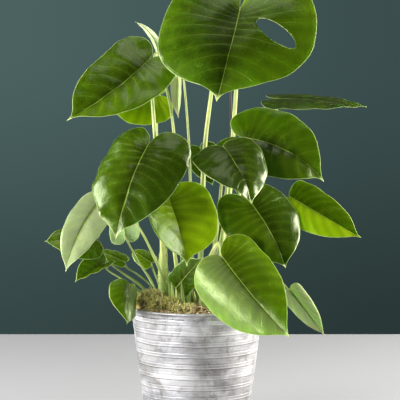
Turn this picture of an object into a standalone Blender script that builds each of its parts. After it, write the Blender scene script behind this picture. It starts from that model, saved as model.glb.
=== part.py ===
"""Young potted monstera: heart-shaped leaves on long stalks, in a ribbed zinc pot.

Lengths are in millimetres and angles in degrees; the meshes are written in metres.
The origin is the middle of the pot's flat bottom, +Z is up and the plant's front is -Y.
"""

from collections import namedtuple
from math import cos, pi, radians, sin

import bmesh
import bpy
import numpy as np

MM = 0.001

# Pot
POT_HEIGHT = 155.0
POT_BOTTOM_RADIUS = 64.0
POT_TOP_RADIUS = 84.4
POT_WALL = 1.4
POT_FLOOR = 2.0
RIM_BEAD_RADIUS = 1.8
NECK_HEIGHT = POT_HEIGHT - 3 * RIM_BEAD_RADIUS
RIB_TOP_HEIGHT = 142.8
RIB_PITCH = 13.95
RIB_COUNT = 10
RIB_WIDTH = 4.7
RIB_RISE = 0.9
POT_SIDES = 36
BOTTOM_CHAMFER = 1.5
BEAD_DEGREES = (-40, 0, 45, 90, 135, 180, 220)

# Soil
SOIL_GAP = 0.3
SOIL_EDGE_HEIGHT = 152.0
SOIL_CROWN_HEIGHT = 157.5
SOIL_RINGS = 5

# Leaf blades and stalks
BLADE_THICKNESS = 0.8
MARGIN_THICKNESS = 0.5
VEIN_POWER = 1.9
JOINT_GAP = 0.35
LARGE_BLADE_WIDTH = 80.0
LARGE_BLADE_STEPS = (14, 3)
SMALL_BLADE_STEPS = (10, 2)
YOUNG_BLADE_WIDTH = 40.0
BESIDE_MIDRIB = 0.1
STALK_STEP = 32.0
STALK_TAPER_RATE = 1.3
STOUT_STALK_RADIUS = 2.5
FOOT_RISE = 6.0
KNEE_LEAN = 1.2
KNEE_REACH = 5.0
KNEE_REACH_PER_RADIUS = 3.0
NECK_PER_RADIUS = 2.0
HOLE_CENTRE = (0.51, 0.23)
HOLE_SIZE = (61.0, 23.0)
HOLE_ANGLE = 60.0
HOLE_SIDES = 20
HOLE_PUNCH_REACH = 12.0

# Half outlines of a blade as (share of half width, share of length) from the sinus to the tip
LOBE_OUTLINE = ((0.07, -0.5), (0.34, -0.98), (0.68, -0.83), (0.93, -0.18))
LONG_TIP = ((1.0, 0.16), (0.93, 0.40), (0.70, 0.63), (0.36, 0.82), (0.13, 0.92), (0.04, 0.965))
DRIP_TIP = ((1.0, 0.22), (0.97, 0.46), (0.80, 0.68), (0.48, 0.81), (0.18, 0.87), (0.05, 0.93))

# Stems: foot (x, y), height above the soil, foot radius, top radius
Stem = namedtuple("Stem", "name foot height foot_radius top_radius")
STEMS = (
    Stem("stem_left", (-43, 5), 72, 8.2, 5.0),
    Stem("stem_centre", (-9, -2), 26, 8.0, 6.0),
    Stem("stem_right", (21, 14), 28, 8.0, 6.0),
)

# Stem outline as (share of the foot radius, share of the height) below its rounded top
STEM_OUTLINE = ((0.94, 0.0), (1.0, 0.12), (0.9, 0.4))
STEM_TOP_CHAMFER = 1.0
STEM_SIDES = 16

# Stake
STAKE_FOOT = (43, 44)
STAKE_RADIUS = 1.7
STAKE_TOP = 448.0
STAKE_TOP_CHAMFER = 0.9
STAKE_SIDES = 10

# A blade: base and tip points, the way its upper face looks (degrees right of the front, degrees
# up), its width, lobe depth as a share of its length, the bends of its midrib and its two halves,
# how blunt it is before the drip tip, and how its outline leans, sweeps sideways and twists.
Blade = namedtuple(
    "Blade",
    "name base tip facing width lobe arch fold droop blunt skew sweep twist",
    defaults=(0.3, 0.0, 0.0, 0.0),
)
BLADES = (
    Blade("leaf_01", (54, 0, 530), (24, -60, 415), (-12, 15), 203, 0.50, 25, 8, 30, 0.8, -0.05, 3),
    Blade("leaf_02", (-60, 14, 466), (-162, -36, 391), (-20, 32), 106, 0.13, 10, 20, 30, 0.5, 0, 8),
    Blade("leaf_03", (-49, 40, 472), (-80, 60, 514), (150, 0), 13, 0.10, 40, 35, 25, 0.2, 0, 5),
    Blade("leaf_04", (-48, 42, 420), (-118, 30, 407), (0, 30), 78, 0.18, 20, 10, 30, 1.0),
    Blade("leaf_05", (-25, 36, 441), (-24, 26, 391), (-20, 0), 18, 0.10, 10, 40, 10),
    Blade("leaf_06", (-59, -60, 363), (-98, -120, 250), (-20, 30), 122, 0.18, 30, 15, 60, 0.3, 0, -2),
    Blade("leaf_07", (32, -62, 359), (67, -117, 294), (0, 45), 90, 0.08, 20, 15, 50, 0.2, 0, 4, -30),
    Blade("leaf_08", (56, -10, 368), (158, -40, 315), (10, 25), 99, 0.20, 35, 20, 35, 0.4, 0, 9),
    Blade("leaf_09", (106, 60, 415), (217, 40, 405), (0, 80), 96, 0.18, 10, 5, 20),
    Blade("leaf_10", (-36, -35, 294), (-12, -80, 213), (30, 25), 105, 0.18, 25, 25, 10, 1.0),
    Blade("leaf_11", (68, -22, 286), (110, -57, 208), (12, 30), 102, 0.27, 30, 12, 45, 0.3, 0, 2),
    Blade("leaf_12", (118, 5, 292), (206, -25, 243), (0, 30), 62, 0.06, 20, 12, 35, 0.3, 0, -2),
    Blade("leaf_13", (31, -95, 226), (111, -150, 136), (0, 30), 108, 0.12, 10, 12, 60, 0.1, -0.06, -3, 22),
    Blade("leaf_14", (116, -50, 180), (158, -70, 126), (-5, 20), 29, 0.06, 15, 20, 40),
    Blade("leaf_15", (-122, -30, 288), (-162, -70, 205), (-15, 30), 54, 0.15, 25, 12, 35, 0.3, 0, -4),
    Blade("leaf_16", (-129, 0, 238), (-192, -20, 238), (-10, 45), 58, 0.12, 10, 10, 50),
    Blade("leaf_17", (-116, -2, 208), (-153, -32, 188), (-10, 50), 40, 0.12, 10, 40, 15),
    Blade("leaf_18", (-93, 20, 208), (-128, 30, 221), (-10, 50), 22, 0.10, 15, 12, 30),
    Blade("leaf_19", (-93, 60, 234), (-100, 90, 276), (180, 20), 40, 0.15, 15, 12, 30),
    Blade("leaf_20", (-60, 60, 202), (-86, 80, 216), (0, 30), 24, 0.10, 15, 12, 30),
    Blade("leaf_21", (-84, -40, 185), (-86, -75, 141), (45, 20), 54, 0.12, 25, 5, 70, 0.3, 0, -3),
    Blade("leaf_22", (-26, -30, 181), (8, -60, 223), (0, 20), 36, 0.03, 15, 12, 30, 0.9),
    Blade("leaf_23", (32, 66, 262), (33, 50, 215), (0, 30), 42, 0.15, 15, 12, 30),
    Blade("leaf_24", (4, 65, 350), (20, 45, 304), (0, 30), 44, 0.15, 15, 12, 30),
    Blade("leaf_25", (64, 82, 321), (69, 68, 275), (0, 30), 40, 0.15, 15, 12, 30),
    Blade("leaf_26", (26, 40, 512), (-35, 90, 450), (200, 35), 92, 0.20, 25, 10, 35),
)

# A stalk: the stem it comes out of, where its foot stands round that stem (degrees, distance), its
# radii at foot and blade, and the points it passes on the way up.
Stalk = namedtuple("Stalk", "stem turn reach foot_radius top_radius via")
STALKS = {
    "leaf_01": Stalk("stem_right", 112, 13.5, 4.2, 2.4,
                     ((34, 28, 240), (42, 24, 305), (46, 22, 372), (50, 18, 434))),
    "leaf_02": Stalk("stem_left", 0, 0, 4.6, 2.4, ((-47, 2, 300), (-53, 2, 374), (-57, 14, 425))),
    "leaf_03": Stalk("stem_centre", 120, 13, 3.2, 1.8, ((-24, 18, 290), (-31, 24, 386), (-40, 31, 432))),
    "leaf_04": Stalk("stem_left", 65, 14, 2.6, 1.6, ((-48, 40, 290), (-52, 56, 384))),
    "leaf_05": Stalk("stem_centre", 80, 13, 2.4, 1.4, ((-8, 24, 280), (-11, 34, 369), (-19, 44, 448))),
    "leaf_06": Stalk("stem_left", 270, 14, 3.8, 2.2, ((-44, -16, 240), (-54, -28, 320))),
    "leaf_07": Stalk("stem_right", 235, 13.5, 3.2, 1.8, ((24, 2, 240), (30, -18, 305))),
    "leaf_08": Stalk("stem_right", 76, 13.5, 3.2, 1.8, ((32, 12, 230), (38, 8, 305), (47, 6, 345))),
    "leaf_09": Stalk("stem_right", 22, 13.5, 3.0, 1.8, ((46, 36, 250), (58, 46, 305), (88, 60, 378))),
    "leaf_10": Stalk("stem_centre", 195, 13, 3.0, 1.8, ((-28, -8, 220), (-34, -14, 268))),
    "leaf_11": Stalk("stem_right", 285, 13.5, 3.4, 1.9, ((36, 4, 210), (56, 0, 262))),
    "leaf_12": Stalk("stem_right", 355, 13.5, 2.8, 1.6, ((60, 14, 220), (98, 16, 272))),
    "leaf_13": Stalk("stem_centre", 290, 13, 3.6, 2.2, ((10, -38, 205), (27, -72, 241))),
    "leaf_14": Stalk("stem_right", 322, 13.5, 2.0, 1.2, ((60, -20, 188), (96, -36, 196))),
    "leaf_15": Stalk("stem_left", 312, 14, 2.2, 1.4,
                     ((-40, -22, 184), (-50, -34, 212), (-76, -38, 262), (-104, -22, 281))),
    "leaf_16": Stalk("stem_left", 180, 13, 2.0, 1.2, ((-70, 6, 177), (-94, 4, 195), (-116, 8, 212))),
    "leaf_17": Stalk("stem_left", 208, 13, 1.9, 1.1, ((-70, -11, 172), (-96, -11, 190))),
    "leaf_18": Stalk("stem_left", 152, 13, 1.7, 1.1, ((-58, 16, 176), (-76, 18, 192))),
    "leaf_19": Stalk("stem_left", 125, 13, 2.0, 1.3, ((-60, 36, 182), (-78, 52, 208))),
    "leaf_20": Stalk("stem_left", 98, 13, 1.6, 1.1, ((-50, 40, 178),)),
    "leaf_21": Stalk("stem_left", 236, 14, 1.9, 1.2, ((-64, -14, 168), (-84, -24, 182))),
    "leaf_22": Stalk("stem_centre", 240, 13, 2.0, 1.2, ((-24, -18, 166),)),
    "leaf_23": Stalk("stem_centre", 50, 13, 2.0, 1.3, ((2, 44, 200), (12, 86, 240))),
    "leaf_24": Stalk("stem_centre", 25, 13, 2.2, 1.4, ((4, 46, 250), (6, 74, 330))),
    "leaf_25": Stalk("stem_right", 48, 13.5, 2.2, 1.3, ((42, 64, 210), (62, 84, 262), (66, 98, 300))),
    "leaf_26": Stalk("stem_centre", 335, 13, 3.8, 2.4, ((6, 0, 250), (10, 6, 356), (19, 14, 431))),
}

# Colours as linear red, green and blue
LEAF_GREEN = (0.045, 0.13, 0.012)
LEAF_YOUNG = (0.13, 0.30, 0.02)
STALK_GREEN = (0.36, 0.50, 0.10)
STEM_GREEN = (0.24, 0.36, 0.07)
ZINC = (0.62, 0.62, 0.64)
SOIL_BROWN = (0.10, 0.06, 0.025)
STAKE_BROWN = (0.05, 0.03, 0.02)


def clear_scene():
    for item in list(bpy.data.objects):
        bpy.data.objects.remove(item, do_unlink=True)


def material(name, colour, roughness, metallic=0.0):
    made = bpy.data.materials.new(name)
    made.use_nodes = True
    shader = made.node_tree.nodes["Principled BSDF"]
    shader.inputs["Base Color"].default_value = (*colour, 1.0)
    shader.inputs["Roughness"].default_value = roughness
    shader.inputs["Metallic"].default_value = metallic
    return made


def add_object(name, mesh, look, parent, sharp_angle=35):
    mesh.materials.append(look)
    mesh.shade_smooth()
    mesh.set_sharp_from_angle(angle=radians(sharp_angle))
    made = bpy.data.objects.new(name, mesh)
    made.parent = parent
    bpy.context.collection.objects.link(made)
    return made


def mesh_from(name, vertices, faces):
    """A mesh of vertices in millimetres whose normals point out of the solid"""
    mesh = bpy.data.meshes.new(name)
    mesh.from_pydata([tuple(np.asarray(v) * MM) for v in vertices], [], faces)
    solid = bmesh.new()
    solid.from_mesh(mesh)
    bmesh.ops.recalc_face_normals(solid, faces=solid.faces)
    solid.to_mesh(mesh)
    solid.free()
    return mesh


def turned_mesh(name, profile, sides):
    """The solid of a closed profile of (radius, height) points; a point on the axis is shared"""
    vertices = []
    rings = []
    for radius, height in profile:
        if radius == 0:
            rings.append([len(vertices)] * sides)
            vertices.append((0.0, 0.0, height))
            continue
        rings.append(list(range(len(vertices), len(vertices) + sides)))
        for k in range(sides):
            turn = 2 * pi * k / sides
            vertices.append((radius * cos(turn), radius * sin(turn), height))
    faces = []
    for lower, upper in zip(rings, rings[1:]):
        for k in range(sides):
            after = (k + 1) % sides
            corners = (lower[k], lower[after], upper[after], upper[k])
            faces.append(tuple(dict.fromkeys(corners)))
    return mesh_from(name, vertices, faces)


def smooth_curve(points, count):
    """Points at even steps along a smooth curve through the given points"""
    points = np.asarray(points, float)
    run = np.vstack([2 * points[0] - points[1], points, 2 * points[-1] - points[-2]])
    steps = 24
    dense = []
    for a, b, c, d in zip(run, run[1:], run[2:], run[3:]):
        t1 = np.linalg.norm(b - a) ** 0.5
        t2 = t1 + np.linalg.norm(c - b) ** 0.5
        t3 = t2 + np.linalg.norm(d - c) ** 0.5
        t = np.linspace(t1, t2, steps, endpoint=False)[:, None]
        ab = a + (b - a) * t / t1
        bc = b + (c - b) * (t - t1) / (t2 - t1)
        cd = c + (d - c) * (t - t2) / (t3 - t2)
        abc = ab + (bc - ab) * t / t2
        bcd = bc + (cd - bc) * (t - t1) / (t3 - t1)
        dense.append(abc + (bcd - abc) * (t - t1) / (t2 - t1))
    dense = np.vstack(dense + [points[-1:]])
    length = np.concatenate([[0], np.cumsum(np.linalg.norm(np.diff(dense, axis=0), axis=1))])
    at = np.linspace(0, length[-1], count)
    return np.stack([np.interp(at, length, dense[:, k]) for k in range(dense.shape[1])], axis=1)


def unit(vector):
    vector = np.asarray(vector, float)
    return vector / np.linalg.norm(vector)


def looking(right_of_front, up):
    """The direction that many degrees right of the front and above the horizon"""
    a = radians(right_of_front)
    e = radians(up)
    return np.array([sin(a) * cos(e), -cos(a) * cos(e), sin(e)])


class BladeShape:
    """Bends a flat blade, with x across it and y from its base to its tip, into its place"""

    def __init__(self, blade):
        self.blade = blade
        self.base = np.array(blade.base, float)
        chord = np.array(blade.tip, float) - self.base
        self.along = unit(chord)
        up = looking(*blade.facing)
        self.up = unit(up - self.along * (up @ self.along))
        self.across = np.cross(self.up, self.along)
        self.arch = radians(blade.arch)
        self.arch_radius = np.linalg.norm(chord) / (2 * sin(self.arch / 2))
        self.length = self.arch_radius * self.arch
        self.half = blade.width / 2

    def half_outline(self, side, count):
        blade = self.blade
        tips = [np.array(a) * (1 - blade.blunt) + np.array(b) * blade.blunt
                for a, b in zip(LONG_TIP, DRIP_TIP)]
        lobes = [(x, y * blade.lobe) for x, y in LOBE_OUTLINE]
        shape = [(0, 0), *lobes, *tips, (0, 1)]
        lean = side * blade.skew
        return smooth_curve([(x * self.half, (y + lean * x) * self.length) for x, y in shape], count)

    def place(self, x, y):
        """The points in space of flat points (x, y)"""
        x = np.asarray(x, float)
        y = np.asarray(y, float)
        blade = self.blade
        share = y / self.length
        slope = self.arch / 2 - y / self.arch_radius
        run = self.arch_radius * (sin(self.arch / 2) - np.sin(slope))
        rise = self.arch_radius * (np.cos(slope) - cos(self.arch / 2))
        up = np.cos(slope)[..., None] * self.up - np.sin(slope)[..., None] * self.along
        turn = radians(blade.twist) * share[..., None]
        across = np.cos(turn) * self.across + np.sin(turn) * up
        up = np.cos(turn) * up - np.sin(turn) * self.across
        fold = radians(blade.fold)
        droop = radians(blade.droop)
        bend = fold - droop * np.abs(x) / self.half
        out = self.half / droop * (sin(fold) - np.sin(bend)) * np.sign(x)
        lift = self.half / droop * (np.cos(bend) - cos(fold))
        sweep = blade.sweep * 4 * share * (1 - share) * np.where(share < 0, 0.3, 1.0)
        return (self.base + run[..., None] * self.along + rise[..., None] * self.up
                + (out + sweep)[..., None] * across + lift[..., None] * up)

    def normal(self, x, y):
        """The upper face's normals at flat points (x, y)"""
        step = 0.05
        dx = self.place(x + step, y) - self.place(x - step, y)
        dy = self.place(x, y + step) - self.place(x, y - step)
        cross = np.cross(dy, dx)
        return cross / np.linalg.norm(cross, axis=-1, keepdims=True)


def blade_grid(shape, columns, rows):
    """Flat points on lines from the midrib to the margin: left side, then right side"""
    share = np.linspace(0, 1, columns + 1)
    rib = share ** VEIN_POWER * shape.length
    sides = {}
    for side in (-1, 1):
        edge = shape.half_outline(side, columns + 1)
        out = np.linspace(0, 1, rows + 1)[None, :]
        x = edge[:, :1] * out * side
        y = rib[:, None] + (edge[:, 1:] - rib[:, None]) * out
        sides[side] = (x, y)
    return sides


def blade_mesh(blade):
    """A closed thin shell: upper and lower skins joined along the margin"""
    shape = BladeShape(blade)
    columns, rows = LARGE_BLADE_STEPS if blade.width > LARGE_BLADE_WIDTH else SMALL_BLADE_STEPS
    sides = blade_grid(shape, columns, rows)
    vertices = []
    index = {}
    for side, (x, y) in sides.items():
        points = shape.place(x, y)
        normals = shape.normal(np.where(np.abs(x) < BESIDE_MIDRIB, BESIDE_MIDRIB * side, x), y)
        middle = shape.normal(np.full_like(x, BESIDE_MIDRIB), y)
        middle = middle + shape.normal(np.full_like(x, -BESIDE_MIDRIB), y)
        for c in range(columns + 1):
            for r in range(rows + 1):
                end = c in (0, columns)
                key = (0, c, 0) if end or r == 0 else (side, c, r)
                if (key, 1) in index:
                    continue
                share = r / rows if not end else 0.0
                half = (BLADE_THICKNESS * (1 - share) + MARGIN_THICKNESS * share) / 2
                normal = unit(middle[c, 0]) if key[0] == 0 else normals[c, r]
                for skin in (1, -1):
                    index[(key, skin)] = len(vertices)
                    vertices.append(points[c, r] + normal * half * skin)
    faces = []

    def corner(side, c, r, skin):
        key = (0, c, 0) if r == 0 or c in (0, columns) else (side, c, r)
        return index[(key, skin)]

    def add_face(corners):
        corners = tuple(dict.fromkeys(corners))
        if len(corners) > 2:
            faces.append(corners)

    for side in (-1, 1):
        for c in range(columns):
            for r in range(rows):
                for skin in (1, -1):
                    quad = [corner(side, c, r, skin), corner(side, c + 1, r, skin),
                            corner(side, c + 1, r + 1, skin), corner(side, c, r + 1, skin)]
                    add_face(quad)
            add_face([corner(side, c, rows, 1), corner(side, c + 1, rows, 1),
                      corner(side, c + 1, rows, -1), corner(side, c, rows, -1)])
    return mesh_from(blade.name, vertices, faces)


def cut_hole(item, shape):
    """Cuts the top blade's oval hole straight through it"""
    x = HOLE_CENTRE[0] * shape.half
    y = HOLE_CENTRE[1] * shape.length
    centre = shape.place(x, y)
    normal = shape.normal(x, y)
    along = unit(shape.place(x, y + 1) - centre)
    across = np.cross(normal, along)
    turn = radians(HOLE_ANGLE)
    first = along * cos(turn) + across * sin(turn)
    second = across * cos(turn) - along * sin(turn)
    vertices = []
    for level in (-HOLE_PUNCH_REACH, HOLE_PUNCH_REACH):
        for k in range(HOLE_SIDES):
            a = 2 * pi * k / HOLE_SIDES
            flat = first * cos(a) * HOLE_SIZE[0] / 2 + second * sin(a) * HOLE_SIZE[1] / 2
            vertices.append(centre + flat + normal * level)
    faces = [tuple(range(HOLE_SIDES)), tuple(range(HOLE_SIDES, 2 * HOLE_SIDES))]
    for k in range(HOLE_SIDES):
        after = (k + 1) % HOLE_SIDES
        faces.append((k, after, after + HOLE_SIDES, k + HOLE_SIDES))
    cutter = bpy.data.objects.new("hole_cutter", mesh_from("hole_cutter", vertices, faces))
    cutter.hide_render = True
    cutter.display_type = "WIRE"
    bpy.context.collection.objects.link(cutter)
    cut = item.modifiers.new("hole", "BOOLEAN")
    cut.operation = "DIFFERENCE"
    cut.solver = "EXACT"
    cut.object = cutter


def pot_radius(height):
    """The pot wall's outer radius at a height"""
    return POT_BOTTOM_RADIUS + (POT_TOP_RADIUS - POT_BOTTOM_RADIUS) * height / POT_HEIGHT


def soil_height(x, y):
    """The soil's height at a place: a low dome"""
    edge = pot_radius(SOIL_EDGE_HEIGHT) - POT_WALL
    share = min(1.0, (x * x + y * y) / edge ** 2)
    return SOIL_CROWN_HEIGHT - (SOIL_CROWN_HEIGHT - SOIL_EDGE_HEIGHT) * share


def foot_height(x, y, radius):
    """Where a foot of that radius stands clear of the domed soil"""
    distance = np.hypot(x, y)
    inward = max(0.0, 1 - radius / distance)
    return soil_height(x * inward, y * inward) + JOINT_GAP


def build_pot(parent):
    outer = [(0, 0), (POT_BOTTOM_RADIUS - BOTTOM_CHAMFER, 0), (pot_radius(BOTTOM_CHAMFER), BOTTOM_CHAMFER)]
    for k in reversed(range(RIB_COUNT)):
        middle = RIB_TOP_HEIGHT - k * RIB_PITCH
        for offset, rise in ((-0.5, 0), (-0.25, 1), (0.25, 1), (0.5, 0)):
            height = middle + offset * RIB_WIDTH
            outer.append((pot_radius(height) + rise * RIB_RISE, height))
    bead_height = POT_HEIGHT - RIM_BEAD_RADIUS
    bead_radius = pot_radius(bead_height) - POT_WALL / 2
    for degrees in BEAD_DEGREES:
        turn = radians(degrees)
        outer.append((bead_radius + RIM_BEAD_RADIUS * cos(turn), bead_height + RIM_BEAD_RADIUS * sin(turn)))
    inner = [(pot_radius(NECK_HEIGHT) - POT_WALL, NECK_HEIGHT),
             (pot_radius(POT_FLOOR) - POT_WALL, POT_FLOOR), (0, POT_FLOOR)]
    mesh = turned_mesh("pot", outer + inner, POT_SIDES)
    return add_object("pot", mesh, material("zinc", ZINC, 0.38, 0.85), parent)


def build_soil(parent):
    def wall(height):
        return pot_radius(height) - POT_WALL - SOIL_GAP

    floor = POT_FLOOR + SOIL_GAP
    edge = wall(NECK_HEIGHT) - RIM_BEAD_RADIUS
    profile = [(0, floor), (wall(floor), floor), (wall(NECK_HEIGHT), NECK_HEIGHT), (edge, SOIL_EDGE_HEIGHT)]
    for k in reversed(range(SOIL_RINGS)):
        radius = edge * k / SOIL_RINGS
        profile.append((radius, soil_height(radius, 0)))
    mesh = turned_mesh("soil", profile, POT_SIDES)
    return add_object("soil", mesh, material("potting_soil", SOIL_BROWN, 0.95), parent)


def build_stem(stem, look, parent):
    x, y = stem.foot
    foot = foot_height(x, y, stem.foot_radius)
    profile = [(0, 0)] + [(stem.foot_radius * out, stem.height * up) for out, up in STEM_OUTLINE]
    profile += [(stem.top_radius, stem.height - STEM_TOP_CHAMFER),
                (stem.top_radius - STEM_TOP_CHAMFER, stem.height), (0, stem.height)]
    item = add_object(stem.name, turned_mesh(stem.name, profile, STEM_SIDES), look, parent)
    item.location = (x * MM, y * MM, foot * MM)
    return item


def build_stake(parent):
    x, y = STAKE_FOOT
    foot = foot_height(x, y, STAKE_RADIUS)
    length = STAKE_TOP - foot
    profile = [(0, 0), (STAKE_RADIUS, 0), (STAKE_RADIUS, length - STAKE_TOP_CHAMFER),
               (STAKE_RADIUS - STAKE_TOP_CHAMFER, length), (0, length)]
    look = material("stake", STAKE_BROWN, 0.6)
    item = add_object("stake", turned_mesh("stake", profile, STAKE_SIDES), look, parent)
    item.location = (x * MM, y * MM, foot * MM)
    return item


def stalk_route(blade, stalk):
    """The points a stalk passes, from its foot to just under the blade's base"""
    shape = BladeShape(blade)
    stem = next(s for s in STEMS if s.name == stalk.stem)
    turn = radians(stalk.turn)
    x = stem.foot[0] + stalk.reach * cos(turn)
    y = stem.foot[1] + stalk.reach * sin(turn)
    if stalk.reach == 0:
        foot = foot_height(x, y, stem.foot_radius) + stem.height + JOINT_GAP
    else:
        foot = foot_height(x, y, stalk.foot_radius)
    start = np.array([x, y, foot])
    right = shape.normal(np.array(BESIDE_MIDRIB), np.array(0.5))
    left = shape.normal(np.array(-BESIDE_MIDRIB), np.array(0.5))
    under = unit(-right - left)
    end = shape.base + under * (BLADE_THICKNESS / 2 + JOINT_GAP)
    last = np.array(stalk.via[-1], float)
    toward = unit(last - end)
    reach = KNEE_REACH + KNEE_REACH_PER_RADIUS * stalk.top_radius
    shoulder = end + unit(under * KNEE_LEAN + toward) * reach
    neck = end + under * NECK_PER_RADIUS * stalk.top_radius
    return [start, start + np.array([0, 0, FOOT_RISE]), *stalk.via, shoulder, neck, end]


def build_stalk(blade, stalk, look, parent):
    route = np.array(stalk_route(blade, stalk), float)
    length = np.sum(np.linalg.norm(np.diff(route, axis=0), axis=1))
    count = max(7, int(length / STALK_STEP) + 4)
    points = np.vstack([route[:1], smooth_curve(route[1:-1], count), route[-1:]])
    curve = bpy.data.curves.new(blade.name.replace("leaf", "petiole"), "CURVE")
    curve.dimensions = "3D"
    curve.bevel_depth = stalk.foot_radius * MM
    curve.bevel_resolution = 2 if stalk.foot_radius > STOUT_STALK_RADIUS else 1
    curve.use_fill_caps = True
    curve.twist_mode = "MINIMUM"
    line = curve.splines.new("POLY")
    line.points.add(len(points) - 1)
    for k, point in enumerate(points):
        line.points[k].co = (*(point * MM), 1.0)
        share = k / (len(points) - 1)
        taper = min(1.0, share * STALK_TAPER_RATE)
        line.points[k].radius = 1 + (stalk.top_radius / stalk.foot_radius - 1) * taper
    curve.materials.append(look)
    item = bpy.data.objects.new(curve.name, curve)
    item.parent = parent
    bpy.context.collection.objects.link(item)
    return item


def main():
    clear_scene()
    plant = bpy.data.objects.new("plant", None)
    bpy.context.collection.objects.link(plant)
    build_pot(plant)
    build_soil(plant)
    build_stake(plant)
    stem_look = material("stem", STEM_GREEN, 0.5)
    for stem in STEMS:
        build_stem(stem, stem_look, plant)
    leaf_look = material("leaf", LEAF_GREEN, 0.35)
    young_look = material("young_leaf", LEAF_YOUNG, 0.4)
    stalk_look = material("petiole", STALK_GREEN, 0.45)
    for blade in BLADES:
        look = young_look if blade.width < YOUNG_BLADE_WIDTH else leaf_look
        item = add_object(blade.name, blade_mesh(blade), look, plant)
        if blade.name == "leaf_01":
            cut_hole(item, BladeShape(blade))
        build_stalk(blade, STALKS[blade.name], stalk_look, plant)


main()
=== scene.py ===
"""Dresses the frame of a young potted monstera: veined blades, grooved stalks, soil and zinc pot.

Shape tables are in millimetres and degrees; objects are built in metres in the frame's own space.
"""

from collections import namedtuple
from math import cos, pi, radians, sin

import bpy
import numpy as np
from bpy.props import FloatProperty, FloatVectorProperty, IntProperty, PointerProperty
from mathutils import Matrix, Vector


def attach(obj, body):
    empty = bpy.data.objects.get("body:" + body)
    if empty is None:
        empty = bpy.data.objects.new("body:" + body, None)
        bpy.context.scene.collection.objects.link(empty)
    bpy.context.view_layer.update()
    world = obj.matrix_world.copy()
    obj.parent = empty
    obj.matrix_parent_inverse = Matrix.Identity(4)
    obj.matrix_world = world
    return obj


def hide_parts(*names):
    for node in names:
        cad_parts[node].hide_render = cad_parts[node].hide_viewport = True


bl_info = {
    "name": "Potted Monstera",
    "version": (1, 0, 0),
    "blender": (4, 5, 0),
    "location": "View3D > Sidebar > Plant",
    "description": "Builds the look of a young monstera in a zinc pot around its frame",
    "category": "Object",
}

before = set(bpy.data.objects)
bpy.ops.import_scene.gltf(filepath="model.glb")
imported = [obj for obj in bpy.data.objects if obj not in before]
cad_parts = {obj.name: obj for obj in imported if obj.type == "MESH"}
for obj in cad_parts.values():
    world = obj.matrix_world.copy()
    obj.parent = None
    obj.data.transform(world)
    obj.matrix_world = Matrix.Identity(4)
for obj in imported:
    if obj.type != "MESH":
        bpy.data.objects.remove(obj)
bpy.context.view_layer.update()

MM = 0.001
CM = 10.0
BODY = "root"
BLACK = (0.0, 0.0, 0.0)
MID_GREY = (0.5, 0.5, 0.5)

# Pot and soil sizes that the frame fixes
POT_HEIGHT = 155.0
POT_BOTTOM_RADIUS = 64.0
POT_TOP_RADIUS = 84.4
POT_WALL = 1.4
POT_FLOOR = 2.0
SOIL_EDGE_HEIGHT = 152.0
SOIL_CROWN_HEIGHT = 157.5

# Bands round the pot, and the neck and bead of its rim
RIB_TOP_HEIGHT = 142.8
RIB_PITCH = 13.95
RIB_COUNT = 10
RIB_WIDTH = 4.7
RIM_BEAD_RADIUS = 1.8
NECK_HEIGHT = POT_HEIGHT - 3 * RIM_BEAD_RADIUS

# The wall across one band: height above the band's foot, how far it stands out as a share of the
# band rise, how strong a highlight is painted on it in the limewash colour, and how dark a painted
# shadow line it has
RIB_PROFILE = (
    (-2.6, 0.0, 0, 0), (-1.5, 0.0, 0, 0.1), (-0.8, -0.35, 0, 1.0), (-0.1, 0.2, 0.2, 0.4),
    (0.4, 1.0, 1, 0), (1.0, 0.6, 0.2, 0), (1.7, 0.5, 0, 0), (3.2, 0.5, 0, 0), (3.8, 0.6, 0.1, 0.1),
    (4.4, 1.0, 0.7, 0), (4.9, 0.2, 0.1, 0.4), (5.5, -0.2, 0, 0.7), (6.1, 0.0, 0, 0.1),
    (7.1, 0.0, 0, 0),
)

# The wall below the rim's bead: height and how dark a painted shadow line it has under the bead
RIM_NECK = ((145.4, 0.0), (147.2, 0.45), (149.6, 0.6), (151.2, 1.0))

# How far side veins crowd toward a blade's base, and how much they curve toward its tip
VEIN_POWER = 2.5
VEIN_CURL = 1.7

# Blade outlines as (share of half width, share of length) from the sinus to the tip
LOBE_OUTLINE = ((0.07, -0.5), (0.34, -0.98), (0.68, -0.83), (0.93, -0.18))
LONG_TIP = ((1.0, 0.16), (0.93, 0.40), (0.70, 0.63), (0.36, 0.82), (0.13, 0.92), (0.04, 0.965))
DRIP_TIP = ((1.0, 0.22), (0.97, 0.46), (0.80, 0.68), (0.48, 0.81), (0.18, 0.87), (0.05, 0.93))

# The oval hole in the top blade: centre as shares of half width and length, size, and angle
HOLED_BLADE = "leaf_01"
HOLE_CENTRE = (0.51, 0.23)
HOLE_SIZE = (61.0, 23.0)
HOLE_ANGLE = 60.0

# The frame's blade, the gap between it and its stalk, and how far a rounded margin stands out
FRAME_BLADE_THICKNESS = 0.8
JOINT_GAP = 0.35
RIM_REACH = 0.2

# A blade with a half lighter than this has the duller face of the youngest blades
YOUNG_LIGHTNESS = 0.7

# How far red, green and blue light spreads inside a blade, against each other
BLADE_GLOW = (0.5, 1.0, 0.15)

# Stems: foot (x, y), height above the soil, foot radius, top radius
Stem = namedtuple("Stem", "name foot height foot_radius top_radius")
STEMS = (
    Stem("stem_left", (-43, 5), 72, 8.2, 5.0),
    Stem("stem_centre", (-9, -2), 26, 8.0, 6.0),
    Stem("stem_right", (21, 14), 28, 8.0, 6.0),
)

# Stake
STAKE_FOOT = (43, 44)
STAKE_RADIUS = 1.7
STAKE_TOP = 448.0

# Moss patches: centre (x, y), half width, half depth and height
MOSS_PATCHES = (((-60, -8), 26, 34, 17), ((-40, -36), 26, 20, 11), ((-64, 30), 16, 20, 10),
                ((-14, -56), 22, 14, 5))

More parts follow.
